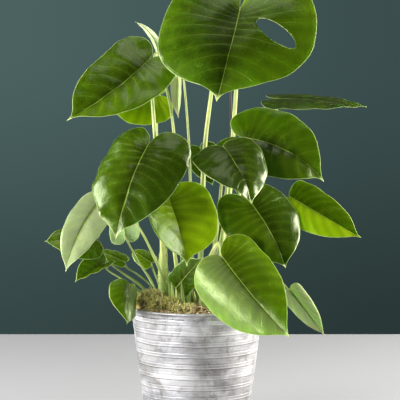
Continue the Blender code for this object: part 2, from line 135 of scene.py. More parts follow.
# Stage, in metres and degrees
PLANT_MIDDLE = (0.0, 0.0, 0.30)
CAMERA_PLACE = (0.0038, -2.52185, 0.49150)
CAMERA_TILT = 4.6
CAMERA_LENS = 180.0
CAMERA_SENSOR = 36.0
SKY_TINT = (0.9, 0.97, 1.0, 1.0)
SKY_STRENGTH = 0.06

# Lights: name, degrees right of the front, degrees up, distance from the plant's middle, size, tint
LIGHTS = (
    ("key", 100, 15, 1.45, (0.65, 0.95), (1.0, 0.99, 0.96)),
    ("side", -96, 16, 1.5, (0.7, 0.9), (0.97, 0.98, 1.0)),
    ("window", -46, 7, 1.6, (0.72, 0.46), (1.0, 1.0, 1.0)),
    ("top", 180, 80, 1.5, (0.9, 0.9), (1.0, 1.0, 1.0)),
)

# A blade: base and tip points, the way its upper face looks (degrees right of the front, degrees
# up), its width, lobe depth as a share of its length, the bends of its midrib and its two halves,
# how blunt it is before the drip tip, and how its outline leans, sweeps sideways and twists.
Blade = namedtuple(
    "Blade",
    "name base tip facing width lobe arch fold droop blunt skew sweep twist",
    defaults=(0.3, 0.0, 0.0, 0.0),
)
BLADES = (
    Blade("leaf_01", (54, 0, 530), (24, -60, 415), (-12, 15), 203, 0.50, 25, 8, 30, 0.8, -0.05, 3),
    Blade("leaf_02", (-60, 14, 466), (-162, -36, 391), (-20, 32), 106, 0.13, 10, 20, 30, 0.5, 0, 8),
    Blade("leaf_03", (-49, 40, 472), (-80, 60, 514), (150, 0), 13, 0.10, 40, 35, 25, 0.2, 0, 5),
    Blade("leaf_04", (-48, 42, 420), (-118, 30, 407), (0, 30), 78, 0.18, 20, 10, 30, 1.0),
    Blade("leaf_05", (-25, 36, 441), (-24, 26, 391), (-20, 0), 18, 0.10, 10, 40, 10),
    Blade("leaf_06", (-59, -60, 363), (-98, -120, 250),
          (-20, 30), 122, 0.18, 30, 15, 60, 0.3, 0, -2),
    Blade("leaf_07", (32, -62, 359), (67, -117, 294),
          (0, 45), 90, 0.08, 20, 15, 50, 0.2, 0, 4, -30),
    Blade("leaf_08", (56, -10, 368), (158, -40, 315), (10, 25), 99, 0.20, 35, 20, 35, 0.4, 0, 9),
    Blade("leaf_09", (106, 60, 415), (217, 40, 405), (0, 80), 96, 0.18, 10, 5, 20),
    Blade("leaf_10", (-36, -35, 294), (-12, -80, 213), (30, 25), 105, 0.18, 25, 25, 10, 1.0),
    Blade("leaf_11", (68, -22, 286), (110, -57, 208), (12, 30), 102, 0.27, 30, 12, 45, 0.3, 0, 2),
    Blade("leaf_12", (118, 5, 292), (206, -25, 243), (0, 30), 62, 0.06, 20, 12, 35, 0.3, 0, -2),
    Blade("leaf_13", (31, -95, 226), (111, -150, 136),
          (0, 30), 108, 0.12, 10, 12, 60, 0.1, -0.06, -3, 22),
    Blade("leaf_14", (116, -50, 180), (158, -70, 126), (-5, 20), 29, 0.06, 15, 20, 40),
    Blade("leaf_15", (-122, -30, 288), (-162, -70, 205),
          (-15, 30), 54, 0.15, 25, 12, 35, 0.3, 0, -4),
    Blade("leaf_16", (-129, 0, 238), (-192, -20, 238), (-10, 45), 58, 0.12, 10, 10, 50),
    Blade("leaf_17", (-116, -2, 208), (-153, -32, 188), (-10, 50), 40, 0.12, 10, 40, 15),
    Blade("leaf_18", (-93, 20, 208), (-128, 30, 221), (-10, 50), 22, 0.10, 15, 12, 30),
    Blade("leaf_19", (-93, 60, 234), (-100, 90, 276), (180, 20), 40, 0.15, 15, 12, 30),
    Blade("leaf_20", (-60, 60, 202), (-86, 80, 216), (0, 30), 24, 0.10, 15, 12, 30),
    Blade("leaf_21", (-84, -40, 185), (-86, -75, 141), (45, 20), 54, 0.12, 25, 5, 70, 0.3, 0, -3),
    Blade("leaf_22", (-26, -30, 181), (8, -60, 223), (0, 20), 36, 0.03, 15, 12, 30, 0.9),
    Blade("leaf_23", (32, 66, 262), (33, 50, 215), (0, 30), 42, 0.15, 15, 12, 30),
    Blade("leaf_24", (4, 65, 350), (20, 45, 304), (0, 30), 44, 0.15, 15, 12, 30),
    Blade("leaf_25", (64, 82, 321), (69, 68, 275), (0, 30), 40, 0.15, 15, 12, 30),
    Blade("leaf_26", (26, 40, 512), (-35, 90, 450), (200, 35), 92, 0.20, 25, 10, 35),
)

# How a blade looks: side veins in each half, how light its left and right half are, how much
# lighter its lobes and its tip are (0 dark green, 1 lime), how far it puffs up between its veins
# and its margin waves (mm), how much pale film and painted sheen lies on its left and its right
# half, and how much lighter it gets toward its margin. Over the blade's own green, the halves,
# lobes, tip and margin are made lighter or darker as painted light and shade.
Look = namedtuple("Look", "veins left right lobes tip puff wave bloom_left bloom_right edge",
                  defaults=(0.6, 1.2, 0.0, 0.0, 0.0))
LOOKS = {
    "leaf_01": Look(14, 0.02, 0.20, 0.55, 0.02, 0.7, 2.0, edge=0.30),
    "leaf_02": Look(12, 0.20, 0.32, 0.05, 0.10, 1.5, 1.5, edge=0.08),
    "leaf_03": Look(8, 1.00, 1.00, 0.0, 0.0, 0.2, 0.5, 0.6, 0.9),
    "leaf_04": Look(10, 0.72, 0.78, 0.10, 0.05),
    "leaf_05": Look(6, 1.00, 1.00, 0.0, 0.0, 0.1, 0.3, 1.0, 1.0),
    "leaf_06": Look(14, 0.20, 0.06, 0.05, 0.02, 0.9, 1.8, edge=0.06),
    "leaf_07": Look(12, 0.00, 0.10, 0.05, 0.10, 1.1, 1.5),
    "leaf_08": Look(12, 0.14, 0.24, 0.06, 0.06, 0.8, 1.5, edge=0.12),
    "leaf_09": Look(10, 0.14, 0.14, 0.05, 0.05),
    "leaf_10": Look(10, 0.56, 0.82, 0.12, 0.0, 0.3, 0.8),
    "leaf_11": Look(12, 0.32, 0.10, 0.05, 0.05, 0.7, 1.5),
    "leaf_12": Look(10, 0.88, 0.30, 0.10, 0.0, edge=0.10),
    "leaf_13": Look(13, 0.52, 0.42, 0.05, 0.02, 0.22, 0.8, 0.08, 0.0, 0.14),
    "leaf_14": Look(9, 0.90, 0.90, 0.05, 0.10, 0.3, 0.8, 0.60, 0.52),
    "leaf_15": Look(9, 0.40, 0.50, 0.05, 0.10, 0.4, 1.0, 0.20, 0.28),
    "leaf_16": Look(9, 0.25, 0.28, 0.05, 0.05),
    "leaf_17": Look(9, 0.25, 0.30, 0.05, 0.05),
    "leaf_18": Look(8, 0.46, 0.52, 0.05, 0.05, 0.3, 0.8),
    "leaf_19": Look(8, 0.34, 0.38, 0.05, 0.05, 0.3, 0.8, 0.16, 0.18),
    "leaf_20": Look(8, 0.46, 0.55, 0.05, 0.05, 0.3, 0.8),
    "leaf_21": Look(9, 0.36, 0.46, 0.05, 0.05, 0.4, 1.0, 0.0, 0.15),
    "leaf_22": Look(9, 0.12, 0.14, 0.05, 0.05, 0.4, 1.0),
    "leaf_23": Look(9, 0.20, 0.22, 0.05, 0.05, 0.4, 1.0),
    "leaf_24": Look(9, 0.18, 0.20, 0.05, 0.05, 0.4, 1.0),
    "leaf_25": Look(9, 0.20, 0.22, 0.05, 0.05, 0.4, 1.0),
    "leaf_26": Look(10, 0.25, 0.28, 0.10, 0.05),
}

# A stalk: the stem it comes out of, where its foot stands round that stem (degrees, distance), its
# radii at foot and blade, and the points it passes on the way up.
Stalk = namedtuple("Stalk", "stem turn reach foot_radius top_radius via")
STALKS = {
    "leaf_01": Stalk("stem_right", 112, 13.5, 4.2, 2.4,
                     ((34, 28, 240), (42, 24, 305), (46, 22, 372), (50, 18, 434))),
    "leaf_02": Stalk("stem_left", 0, 0, 4.6, 2.4, ((-47, 2, 300), (-53, 2, 374), (-57, 14, 425))),
    "leaf_03": Stalk("stem_centre", 120, 13, 3.2, 1.8,
                     ((-24, 18, 290), (-31, 24, 386), (-40, 31, 432))),
    "leaf_04": Stalk("stem_left", 65, 14, 2.6, 1.6, ((-48, 40, 290), (-52, 56, 384))),
    "leaf_05": Stalk("stem_centre", 80, 13, 2.4, 1.4,
                     ((-8, 24, 280), (-11, 34, 369), (-19, 44, 448))),
    "leaf_06": Stalk("stem_left", 270, 14, 3.8, 2.2, ((-44, -16, 240), (-54, -28, 320))),
    "leaf_07": Stalk("stem_right", 235, 13.5, 3.2, 1.8, ((24, 2, 240), (30, -18, 305))),
    "leaf_08": Stalk("stem_right", 76, 13.5, 3.2, 1.8, ((32, 12, 230), (38, 8, 305), (47, 6, 345))),
    "leaf_09": Stalk("stem_right", 22, 13.5, 3.0, 1.8,
                     ((46, 36, 250), (58, 46, 305), (88, 60, 378))),
    "leaf_10": Stalk("stem_centre", 195, 13, 3.0, 1.8, ((-28, -8, 220), (-34, -14, 268))),
    "leaf_11": Stalk("stem_right", 285, 13.5, 3.4, 1.9, ((36, 4, 210), (56, 0, 262))),
    "leaf_12": Stalk("stem_right", 355, 13.5, 2.8, 1.6, ((60, 14, 220), (98, 16, 272))),
    "leaf_13": Stalk("stem_centre", 290, 13, 3.6, 2.2, ((10, -38, 205), (27, -72, 241))),
    "leaf_14": Stalk("stem_right", 322, 13.5, 2.0, 1.2, ((60, -20, 188), (96, -36, 196))),
    "leaf_15": Stalk("stem_left", 312, 14, 2.2, 1.4,
                     ((-40, -22, 184), (-50, -34, 212), (-76, -38, 262), (-104, -22, 281))),
    "leaf_16": Stalk("stem_left", 180, 13, 2.0, 1.2,
                     ((-70, 6, 177), (-94, 4, 195), (-116, 8, 212))),
    "leaf_17": Stalk("stem_left", 208, 13, 1.9, 1.1, ((-70, -11, 172), (-96, -11, 190))),
    "leaf_18": Stalk("stem_left", 152, 13, 1.7, 1.1, ((-58, 16, 176), (-76, 18, 192))),
    "leaf_19": Stalk("stem_left", 125, 13, 2.0, 1.3, ((-60, 36, 182), (-78, 52, 208))),
    "leaf_20": Stalk("stem_left", 98, 13, 1.6, 1.1, ((-50, 40, 178),)),
    "leaf_21": Stalk("stem_left", 236, 14, 1.9, 1.2, ((-64, -14, 168), (-84, -24, 182))),
    "leaf_22": Stalk("stem_centre", 240, 13, 2.0, 1.2, ((-24, -18, 166),)),
    "leaf_23": Stalk("stem_centre", 50, 13, 2.0, 1.3, ((2, 44, 200), (12, 86, 240))),
    "leaf_24": Stalk("stem_centre", 25, 13, 2.2, 1.4, ((4, 46, 250), (6, 74, 330))),
    "leaf_25": Stalk("stem_right", 48, 13.5, 2.2, 1.3,
                     ((42, 64, 210), (62, 84, 262), (66, 98, 300))),
    "leaf_26": Stalk("stem_centre", 335, 13, 3.8, 2.4, ((6, 0, 250), (10, 6, 356), (19, 14, 431))),
}


# Curves and noise


def unit(vector):
    vector = np.asarray(vector, float)
    return vector / np.linalg.norm(vector)


def unit_rows(vectors):
    return vectors / np.maximum(np.linalg.norm(vectors, axis=-1, keepdims=True), 1e-9)


def looking(right_of_front, up):
    """The direction that many degrees right of the front and above the horizon"""
    a = radians(right_of_front)
    e = radians(up)
    return np.array([sin(a) * cos(e), -cos(a) * cos(e), sin(e)])


def smooth_curve(points, count):
    """Points at even steps along a smooth curve through the given points"""
    points = np.asarray(points, float)
    run = np.vstack([2 * points[0] - points[1], points, 2 * points[-1] - points[-2]])
    steps = 24
    dense = []
    for a, b, c, d in zip(run, run[1:], run[2:], run[3:]):
        t1 = np.linalg.norm(b - a) ** 0.5
        t2 = t1 + np.linalg.norm(c - b) ** 0.5
        t3 = t2 + np.linalg.norm(d - c) ** 0.5
        t = np.linspace(t1, t2, steps, endpoint=False)[:, None]
        ab = a + (b - a) * t / t1
        bc = b + (c - b) * (t - t1) / (t2 - t1)
        cd = c + (d - c) * (t - t2) / (t3 - t2)
        abc = ab + (bc - ab) * t / t2
        bcd = bc + (cd - bc) * (t - t1) / (t3 - t1)
        dense.append(abc + (bcd - abc) * (t - t1) / (t2 - t1))
    dense = np.vstack(dense + [points[-1:]])
    length = np.concatenate([[0], np.cumsum(np.linalg.norm(np.diff(dense, axis=0), axis=1))])
    at = np.linspace(0, length[-1], count)
    return np.stack([np.interp(at, length, dense[:, k]) for k in range(dense.shape[1])], axis=1)


def soft_noise(points, size, seed):
    """Smooth values, mostly between -1 and 1, that rise and fall over about that size"""
    source = np.random.default_rng(seed)
    total = 0.0
    for _ in range(10):
        direction = unit(source.normal(size=3)) * source.uniform(0.6, 1.7)
        total = total + np.sin(points @ direction * 2 * pi / size + source.uniform(0, 2 * pi))
    return total / 3.5


def step(low, high, values):
    """Eases from 0 to 1 as values go from low to high"""
    share = np.clip((np.asarray(values, float) - low) / (high - low), 0, 1)
    return share * share * (3 - 2 * share)


class BladeShape:
    """Bends a flat blade, with x across it and y from its base to its tip, into its place"""

    def __init__(self, blade):
        self.blade = blade
        self.base = np.array(blade.base, float)
        chord = np.array(blade.tip, float) - self.base
        self.along = unit(chord)
        up = looking(*blade.facing)
        self.up = unit(up - self.along * (up @ self.along))
        self.across = np.cross(self.up, self.along)
        self.arch = radians(blade.arch)
        self.arch_radius = np.linalg.norm(chord) / (2 * sin(self.arch / 2))
        self.length = self.arch_radius * self.arch
        self.half = blade.width / 2

    def half_outline(self, side, count):
        """Flat points down one half's margin, from the sinus to the tip"""
        blade = self.blade
        tips = [np.array(a) * (1 - blade.blunt) + np.array(b) * blade.blunt
                for a, b in zip(LONG_TIP, DRIP_TIP)]
        lobes = [(x, y * blade.lobe) for x, y in LOBE_OUTLINE]
        shape = [(0, 0), *lobes, *tips, (0, 1)]
        lean = side * blade.skew
        flat = [(x * self.half, (y + lean * x) * self.length) for x, y in shape]
        return smooth_curve(flat, count)

    def place(self, x, y):
        """The points in space of flat points (x, y)"""
        x = np.asarray(x, float)
        y = np.asarray(y, float)
        blade = self.blade
        share = y / self.length
        slope = self.arch / 2 - y / self.arch_radius
        run = self.arch_radius * (sin(self.arch / 2) - np.sin(slope))
        rise = self.arch_radius * (np.cos(slope) - cos(self.arch / 2))
        up = np.cos(slope)[..., None] * self.up - np.sin(slope)[..., None] * self.along
        turn = radians(blade.twist) * share[..., None]
        across = np.cos(turn) * self.across + np.sin(turn) * up
        up = np.cos(turn) * up - np.sin(turn) * self.across
        fold = radians(blade.fold)
        droop = radians(blade.droop)
        bend = fold - droop * np.abs(x) / self.half
        out = self.half / droop * (sin(fold) - np.sin(bend)) * np.sign(x)
        lift = self.half / droop * (np.cos(bend) - cos(fold))
        sweep = blade.sweep * 4 * share * (1 - share) * np.where(share < 0, 0.3, 1.0)
        return (self.base + run[..., None] * self.along + rise[..., None] * self.up
                + (out + sweep)[..., None] * across + lift[..., None] * up)

    def normal(self, x, y):
        """The upper face's normals at flat points (x, y)"""
        reach = 0.05
        dx = self.place(x + reach, y) - self.place(x - reach, y)
        dy = self.place(x, y + reach) - self.place(x, y - reach)
        cross = np.cross(dy, dx)
        return cross / np.linalg.norm(cross, axis=-1, keepdims=True)

    def hole_distance(self, x, y):
        """About how far flat points lie outside the top blade's hole, in mm"""
        turn = radians(HOLE_ANGLE)
        dx = x - HOLE_CENTRE[0] * self.half
        dy = y - HOLE_CENTRE[1] * self.length
        first = dy * cos(turn) + dx * sin(turn)
        second = dx * cos(turn) - dy * sin(turn)
        ring = np.hypot(first / HOLE_SIZE[0] * 2, second / HOLE_SIZE[1] * 2)
        return (ring - 1) * np.hypot(first, second) / np.maximum(ring, 0.01)


def pot_radius(height):
    """The pot wall's outer radius at a height"""
    return POT_BOTTOM_RADIUS + (POT_TOP_RADIUS - POT_BOTTOM_RADIUS) * height / POT_HEIGHT


SOIL_RADIUS = pot_radius(SOIL_EDGE_HEIGHT) - POT_WALL


def soil_height(x, y):
    """The frame soil's height at a place: a low dome"""
    share = np.minimum(1.0, (np.square(x) + np.square(y)) / SOIL_RADIUS ** 2)
    return SOIL_CROWN_HEIGHT - (SOIL_CROWN_HEIGHT - SOIL_EDGE_HEIGHT) * share


# Meshes. Their UV maps carry numbers to the looks. On blades: "veins" is the way out from the
# midrib and the number of the side vein, "flat" the place on the flat blade in cm, "tone" its
# lightness with painted light and shade, and its pale film and painted sheen, "reach" the mm to
# the nearest edge and the way along. On stalks, stems and cane: "along" is the way round and
# along, "pale" the paleness of a stalk. On the pot: "bands" is how strong a painted highlight and
# how dark a painted shadow line it has. On bark and moss: "own" is the shade of each bit, then its
# paleness or its height.


def mesh_from(name, vertices, faces, slots=None):
    """A smooth mesh of vertices given in millimetres"""
    mesh = bpy.data.meshes.new(name)
    mesh.from_pydata((np.asarray(vertices) * MM).tolist(), [], faces)
    mesh.shade_smooth()
    if slots is not None:
        mesh.polygons.foreach_set("material_index", np.asarray(slots, dtype=np.int32))
    mesh.update()
    return mesh


def add_coordinates(mesh, name, values):
    """Stores a pair of numbers per vertex as a UV map of that name"""
    layer = mesh.uv_layers.new(name=name, do_init=False)
    corner = np.empty(len(mesh.loops), dtype=np.int32)
    mesh.loops.foreach_get("vertex_index", corner)
    layer.data.foreach_set("uv", np.asarray(values, dtype=np.float32)[corner].ravel())


def add_piece(name, mesh, looks, stands_for=()):
    """Links a finished piece that rides on the plant and hides the frame nodes it stands for"""
    for look in looks:
        mesh.materials.append(look)
    piece = bpy.data.objects.new(name, mesh)
    bpy.context.collection.objects.link(piece)
    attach(piece, BODY)
    if stands_for:
        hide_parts(*stands_for)
    return piece


def ring_faces(index):
    """Faces between rings of vertex numbers, each closed on itself; repeated corners are dropped"""
    faces = []
    for lower, upper in zip(index, index[1:]):
        for k in range(len(lower)):
            after = (k + 1) % len(lower)
            corners = (lower[k], upper[k], upper[after], lower[after])
            corners = tuple(dict.fromkeys(int(c) for c in corners))
            if len(corners) > 2:
                faces.append(corners[::-1])
    return faces


def capped_faces(count, sides):
    """Faces of a stack of rings, numbered one after another, with a cap at both ends"""
    index = np.arange(count).reshape(-1, sides)
    caps = [tuple(index[0][::-1].tolist()), tuple(index[-1].tolist())]
    return ring_faces(index) + caps


def turned(rings, sides):
    """Vertices and faces round the pot's axis; a ring is a row of vertices, or one in the middle"""
    vertices, index = [], []
    for ring in rings:
        first = len(vertices)
        vertices.extend(ring)
        index.append([first] * sides if len(ring) == 1 else list(range(first, first + sides)))
    return vertices, ring_faces(index)


class MeshParts:
    """Gathers many small shapes, each with its own map values, into one mesh"""

    def __init__(self):
        self.vertices = []
        self.faces = []
        self.maps = {}
        self.count = 0

    def add(self, vertices, faces, **maps):
        vertices = np.asarray(vertices, float)
        self.vertices.append(vertices)
        self.faces.extend(tuple(int(c) + self.count for c in face) for face in faces)
        for name, values in maps.items():
            values = np.broadcast_to(np.asarray(values, float), (len(vertices), 2))
            self.maps.setdefault(name, []).append(values)
        self.count += len(vertices)

    def mesh(self, name):
        mesh = mesh_from(name, np.vstack(self.vertices), self.faces)
        for label, values in self.maps.items():
            add_coordinates(mesh, label, np.vstack(values))
        return mesh


def tube(points, radii, sides):
    """Rings round a line of points, closed at both ends: vertices and faces"""
    points = np.asarray(points, float)
    radii = np.broadcast_to(radii, len(points))
    forward = unit_rows(np.gradient(points, axis=0))
    side = np.cross(forward[0], [0.31, 0.84, 0.45])
    vertices = []
    for point, ahead, radius in zip(points, forward, radii):
        side = unit(side - ahead * (side @ ahead))
        other = np.cross(ahead, side)
        for k in range(sides):
            turn = 2 * pi * k / sides
            vertices.append(point + radius * (side * cos(turn) + other * sin(turn)))
    return np.array(vertices), capped_faces(len(vertices), sides)


# Node building


class Wiring:
    """Short calls that each add a node to a tree and return its output"""

    def __init__(self, tree):
        self.tree = tree

    def feed(self, socket, value):
        if isinstance(value, bpy.types.NodeSocket):
            self.tree.links.new(value, socket)
        else:
            socket.default_value = value

    def node(self, kind, values=None, **settings):
        node = self.tree.nodes.new(kind)
        for key, value in settings.items():
            setattr(node, key, value)
        for key, value in (values or {}).items():
            self.feed(node.inputs[key], value)
        return node

    def maths(self, operation, *values):
        return self.node("ShaderNodeMath", dict(enumerate(values)), operation=operation).outputs[0]

    def add(self, first, second):
        return self.maths("ADD", first, second)

    def times(self, first, second):
        return self.maths("MULTIPLY", first, second)

    def total(self, base, *terms):
        """A base value plus further values, each given with its weight"""
        for value, weight in terms:
            base = self.add(base, self.times(value, weight))
        return base

    def stretch(self, vector, factors):
        values = {0: vector, 1: factors}
        return self.node("ShaderNodeVectorMath", values, operation="MULTIPLY").outputs[0]

    def parts(self, vector):
        """The x, y and z of a vector"""
        return self.node("ShaderNodeSeparateXYZ", {0: vector}).outputs

    def ease(self, value, low, high, start=0.0, end=1.0):
        """Eases from start to end as the value goes from low to high"""
        values = {"Value": value, "From Min": low, "From Max": high, "To Min": start, "To Max": end}
        return self.node("ShaderNodeMapRange", values, interpolation_type="SMOOTHSTEP").outputs[0]

    def mix(self, share, first, second, blend="MIX"):
        """Blends two colours"""
        values = {0: share, 6: colour(first), 7: colour(second)}
        return self.node("ShaderNodeMix", values, data_type="RGBA", blend_type=blend).outputs[2]

    def coats(self, base, *layers):
        """Lays colours over a base in turn, each given as a mask, its strength and its colour"""
        for mask, strength, over in layers:
            base = self.mix(self.times(mask, strength), base, over)
        return base

    def noise(self, vector, scale, detail, rough, warp=0.0):
        values = {"Vector": vector, "Scale": scale, "Detail": detail, "Roughness": rough,
                  "Distortion": warp}
        return self.node("ShaderNodeTexNoise", values).outputs[0]

    def cells(self, vector, scale, feature="F1", output="Distance"):
        values = {"Vector": vector, "Scale": scale}
        return self.node("ShaderNodeTexVoronoi", values, feature=feature).outputs[output]

    def place(self):
        """The place on the plant, in metres"""
        return self.node("ShaderNodeTexCoord").outputs["Object"]

    def map(self, name):
        return self.node("ShaderNodeUVMap", uv_map=name).outputs[0]

    def bump(self, height, depth):
        """Relief of that depth in mm"""
        values = {"Strength": 1.0, "Distance": depth * MM, "Height": height}
        return self.node("ShaderNodeBump", values).outputs[0]


def colour(value):
    """A colour with its alpha; a socket is passed on as it is"""
    return value if isinstance(value, bpy.types.NodeSocket) else (*value[:3], 1.0)


def new_group(name, vectors, numbers, outputs):
    """A node group with named sockets: the group, its wiring, what it takes and what it gives"""
    group = bpy.data.node_groups.new(name, "ShaderNodeTree")
    add_socket = group.interface.new_socket
    for label in vectors:
        add_socket(name=label, in_out="INPUT", socket_type="NodeSocketVector")
    for label, value in numbers.items():
        socket = add_socket(name=label, in_out="INPUT", socket_type="NodeSocketFloat")
        socket.default_value = value
    for label in outputs:
        add_socket(name=label, in_out="OUTPUT", socket_type="NodeSocketFloat")
    given = group.nodes.new("NodeGroupInput").outputs
    return group, Wiring(group), given, group.nodes.new("NodeGroupOutput").inputs


def mottle_group(name):
    """Soft patches in two sizes with a sharper edge"""
    numbers = {"Scale": 30.0, "Low": 0.35, "High": 0.65, "Warp": 0.3}
    group, w, given, out = new_group(name, ["Place"], numbers, ["Patches", "Grain"])
    broad = w.noise(given["Place"], given["Scale"], 4.0, 0.6, given["Warp"])
    fine = w.noise(given["Place"], w.times(given["Scale"], 9.0), 3.0, 0.65)
    both = w.add(w.times(broad, 0.82), w.times(fine, 0.18))
    w.feed(out["Patches"], w.ease(both, given["Low"], given["High"]))
    w.feed(out["Grain"], fine)
    return group


def streak_group(name):
    """Fine lines along a stretched direction, and broader bands under them"""
    group, w, given, out = new_group(name, ["Place", "Stretch"], {"Scale": 100.0},
                                     ["Lines", "Bands"])
    stretched = w.stretch(given["Place"], given["Stretch"])
    lines = w.noise(stretched, given["Scale"], 5.0, 0.7)
    bands = w.noise(stretched, w.times(given["Scale"], 0.22), 2.0, 0.5)
    w.feed(out["Lines"], w.ease(lines, 0.38, 0.66))
    w.feed(out["Bands"], w.ease(bands, 0.35, 0.65))
    return group


def vein_group(name):
    """The lines of a blade: side veins, midrib, fine net and margin, from the blade's own maps"""
    group, w, given, out = new_group(name, ["Veins", "Flat", "Reach"], {"Net Scale": 3.2},
                                     ["Vein", "Midrib", "Net", "Margin", "Quilt"])
    across = w.maths("ABSOLUTE", w.parts(given["Veins"])[0])
    near = w.maths("PINGPONG", w.parts(given["Veins"])[1], 0.5)
    width = w.add(w.times(w.maths("SUBTRACT", 1.0, across), 0.05), 0.03)
    line = w.ease(near, w.times(width, 0.25), width, 1.0, 0.0)
    w.feed(out["Vein"], w.times(line, w.ease(across, 0.78, 0.97, 1.0, 0.0)))
    side = w.times(w.maths("ABSOLUTE", w.parts(given["Flat"])[0]), 10.0)
    rib = w.add(w.times(w.parts(given["Reach"])[1], -0.9), 1.4)
    w.feed(out["Midrib"], w.ease(side, w.times(rib, 0.45), rib, 1.0, 0.0))
    coarse = w.cells(given["Flat"], w.times(given["Net Scale"], 0.42), "DISTANCE_TO_EDGE")
    fine = w.cells(given["Flat"], given["Net Scale"], "DISTANCE_TO_EDGE")
    net = w.maths("MAXIMUM", w.ease(coarse, 0.0, 0.05, 1.0, 0.0), w.ease(fine, 0.0, 0.07, 0.6, 0.0))
    w.feed(out["Net"], net)
    w.feed(out["Margin"], w.ease(w.parts(given["Reach"])[0], 0.15, 0.8, 1.0, 0.0))
    w.feed(out["Quilt"], w.ease(near, 0.0, 0.5))
    return group


GROUPS = {"Mottle": mottle_group, "Streaks": streak_group, "Blade Veins": vein_group}


def use_group(w, name, values):
    """Places a shared group, made the first time it is needed, and returns its outputs"""
    group = bpy.data.node_groups.get(name) or GROUPS[name](name)
    return w.node("ShaderNodeGroup", values, node_tree=group).outputs


def mottled(w, place, scale, low=0.35, high=0.65, warp=0.3):
    values = {"Place": place, "Scale": scale, "Low": low, "High": high, "Warp": warp}
    return use_group(w, "Mottle", values)


def streaked(w, place, stretch, scale):
    return use_group(w, "Streaks", {"Place": place, "Stretch": stretch, "Scale": scale})


def blade_lines(w):
    values = {"Veins": w.map("veins"), "Flat": w.map("flat"), "Reach": w.map("reach")}
    return use_group(w, "Blade Veins", values)


def new_material(name, rough, metallic=0.0):
    """A material, its wiring and its Principled shader's inputs"""
    made = bpy.data.materials.new(name)
    made.use_nodes = True
    shader = made.node_tree.nodes["Principled BSDF"].inputs
    shader["Roughness"].default_value = rough
    shader["Metallic"].default_value = metallic
    return made, Wiring(made.node_tree), shader


def let_light_through(shader, weight, depth, radius):
    """Makes a thin green part glow where light falls on its far side"""
    shader["Subsurface Weight"].default_value = weight
    shader["Subsurface Scale"].default_value = depth * MM
    shader["Subsurface Radius"].default_value = radius


def upper_blade_look(name, leaf, gloss):
    """The glossy upper face: green from dark to lime by the tone map, with painted shade in the
    midrib's fold and between the veins, pale veins, a pale margin with a painted rim of light, and
    pale film with painted sheen
    """
    look, w, shader = new_material(name, leaf.upper_roughness)
    lines = blade_lines(w)
    mottle = mottled(w, w.place(), 42.0, 0.3, 0.7)
    tone, film_and_sheen, _ = w.parts(w.map("tone"))
    light = w.total(w.add(tone, -0.13), (mottle["Patches"], 0.16), (mottle["Grain"], 0.10))
    green = w.mix(w.ease(light, 0.0, 0.5), leaf.dark_green, leaf.mid_green)
    green = w.mix(w.ease(light, 0.45, 1.0), green, leaf.lime_green)
    # Painted shade: the green is darkened toward black beside the midrib, where the fold lies in
    # shade, less on pale blades, and between the side veins, where the puckers lie in shade.
    fold = w.ease(w.maths("ABSOLUTE", w.parts(w.map("veins"))[0]), 0.0, 0.45, 0.38, 0.0)
    fold = w.times(fold, w.ease(tone, 0.45, 0.8, 1.0, 0.3))
    green = w.mix(w.total(fold, (lines["Quilt"], 0.20)), green, BLACK)
    veined = w.mix(0.55, green, leaf.vein_green)
    # The margin is painted pale: partly the blade's own pale margin, partly a painted rim of light
    # where light comes from behind. The drip tip takes the same pale colour.
    tip = w.ease(w.parts(w.map("reach"))[1], 0.965, 0.99)
    green = w.coats(green, (lines["Vein"], 0.11, veined), (lines["Net"], 0.06, veined),
                    (lines["Midrib"], 0.60, leaf.vein_green),
                    (lines["Margin"], 0.6, leaf.margin_and_rim_light),
                    (tip, 0.8, leaf.margin_and_rim_light), (film_and_sheen, 1.0, leaf.film_and_sheen_pale))
    # The last coat is a pale film on young blades and a painted sheen on glossy ones.
    w.feed(shader["Base Color"], green)
    rough = w.total(leaf.upper_roughness - 0.05, (mottle["Patches"], 0.10), (film_and_sheen, 0.12))
    w.feed(shader["Roughness"], w.add(rough, w.ease(tone, 0.70, 0.85, 0.0, 0.24)))
    height = w.total(0.0, (lines["Vein"], -0.2), (lines["Midrib"], -0.5), (lines["Net"], -0.08),
                     (mottle["Grain"], 0.12))
    w.feed(shader["Normal"], w.bump(height, 0.5))
    let_light_through(shader, leaf.glow, 1.6, BLADE_GLOW)
    shader["Specular IOR Level"].default_value = gloss
    shader["Specular Tint"].default_value = colour(leaf.gloss_tint)
    return look


def lower_blade_look(name, leaf):
    """The paler, duller underside, where the veins stand out"""
    look, w, shader = new_material(name, leaf.lower_roughness)
    lines = blade_lines(w)
    mottle = mottled(w, w.place(), 36.0, 0.3, 0.7)
    tone, film_and_sheen, _ = w.parts(w.map("tone"))
    light = w.total(w.add(tone, -0.1), (mottle["Patches"], 0.2))
    green = w.mix(w.ease(light, 0.0, 0.9), leaf.under_green, leaf.under_lime)
    green = w.coats(green, (lines["Net"], 0.4, leaf.mid_green),
                    (lines["Vein"], 0.55, leaf.vein_green),
                    (lines["Midrib"], 0.85, leaf.vein_green),
                    (lines["Margin"], 0.5, leaf.margin_and_rim_light), (film_and_sheen, 1.0, leaf.film_and_sheen_pale))
    # The last coat is a pale film on young blades and a painted sheen on glossy ones.
    w.feed(shader["Base Color"], green)
    height = w.total(0.0, (lines["Vein"], 0.7), (lines["Midrib"], 0.5), (lines["Net"], 0.2),
                     (mottle["Grain"], 0.15))
    w.feed(shader["Normal"], w.bump(height, 0.6))
    let_light_through(shader, leaf.glow, 1.6, BLADE_GLOW)
    return look


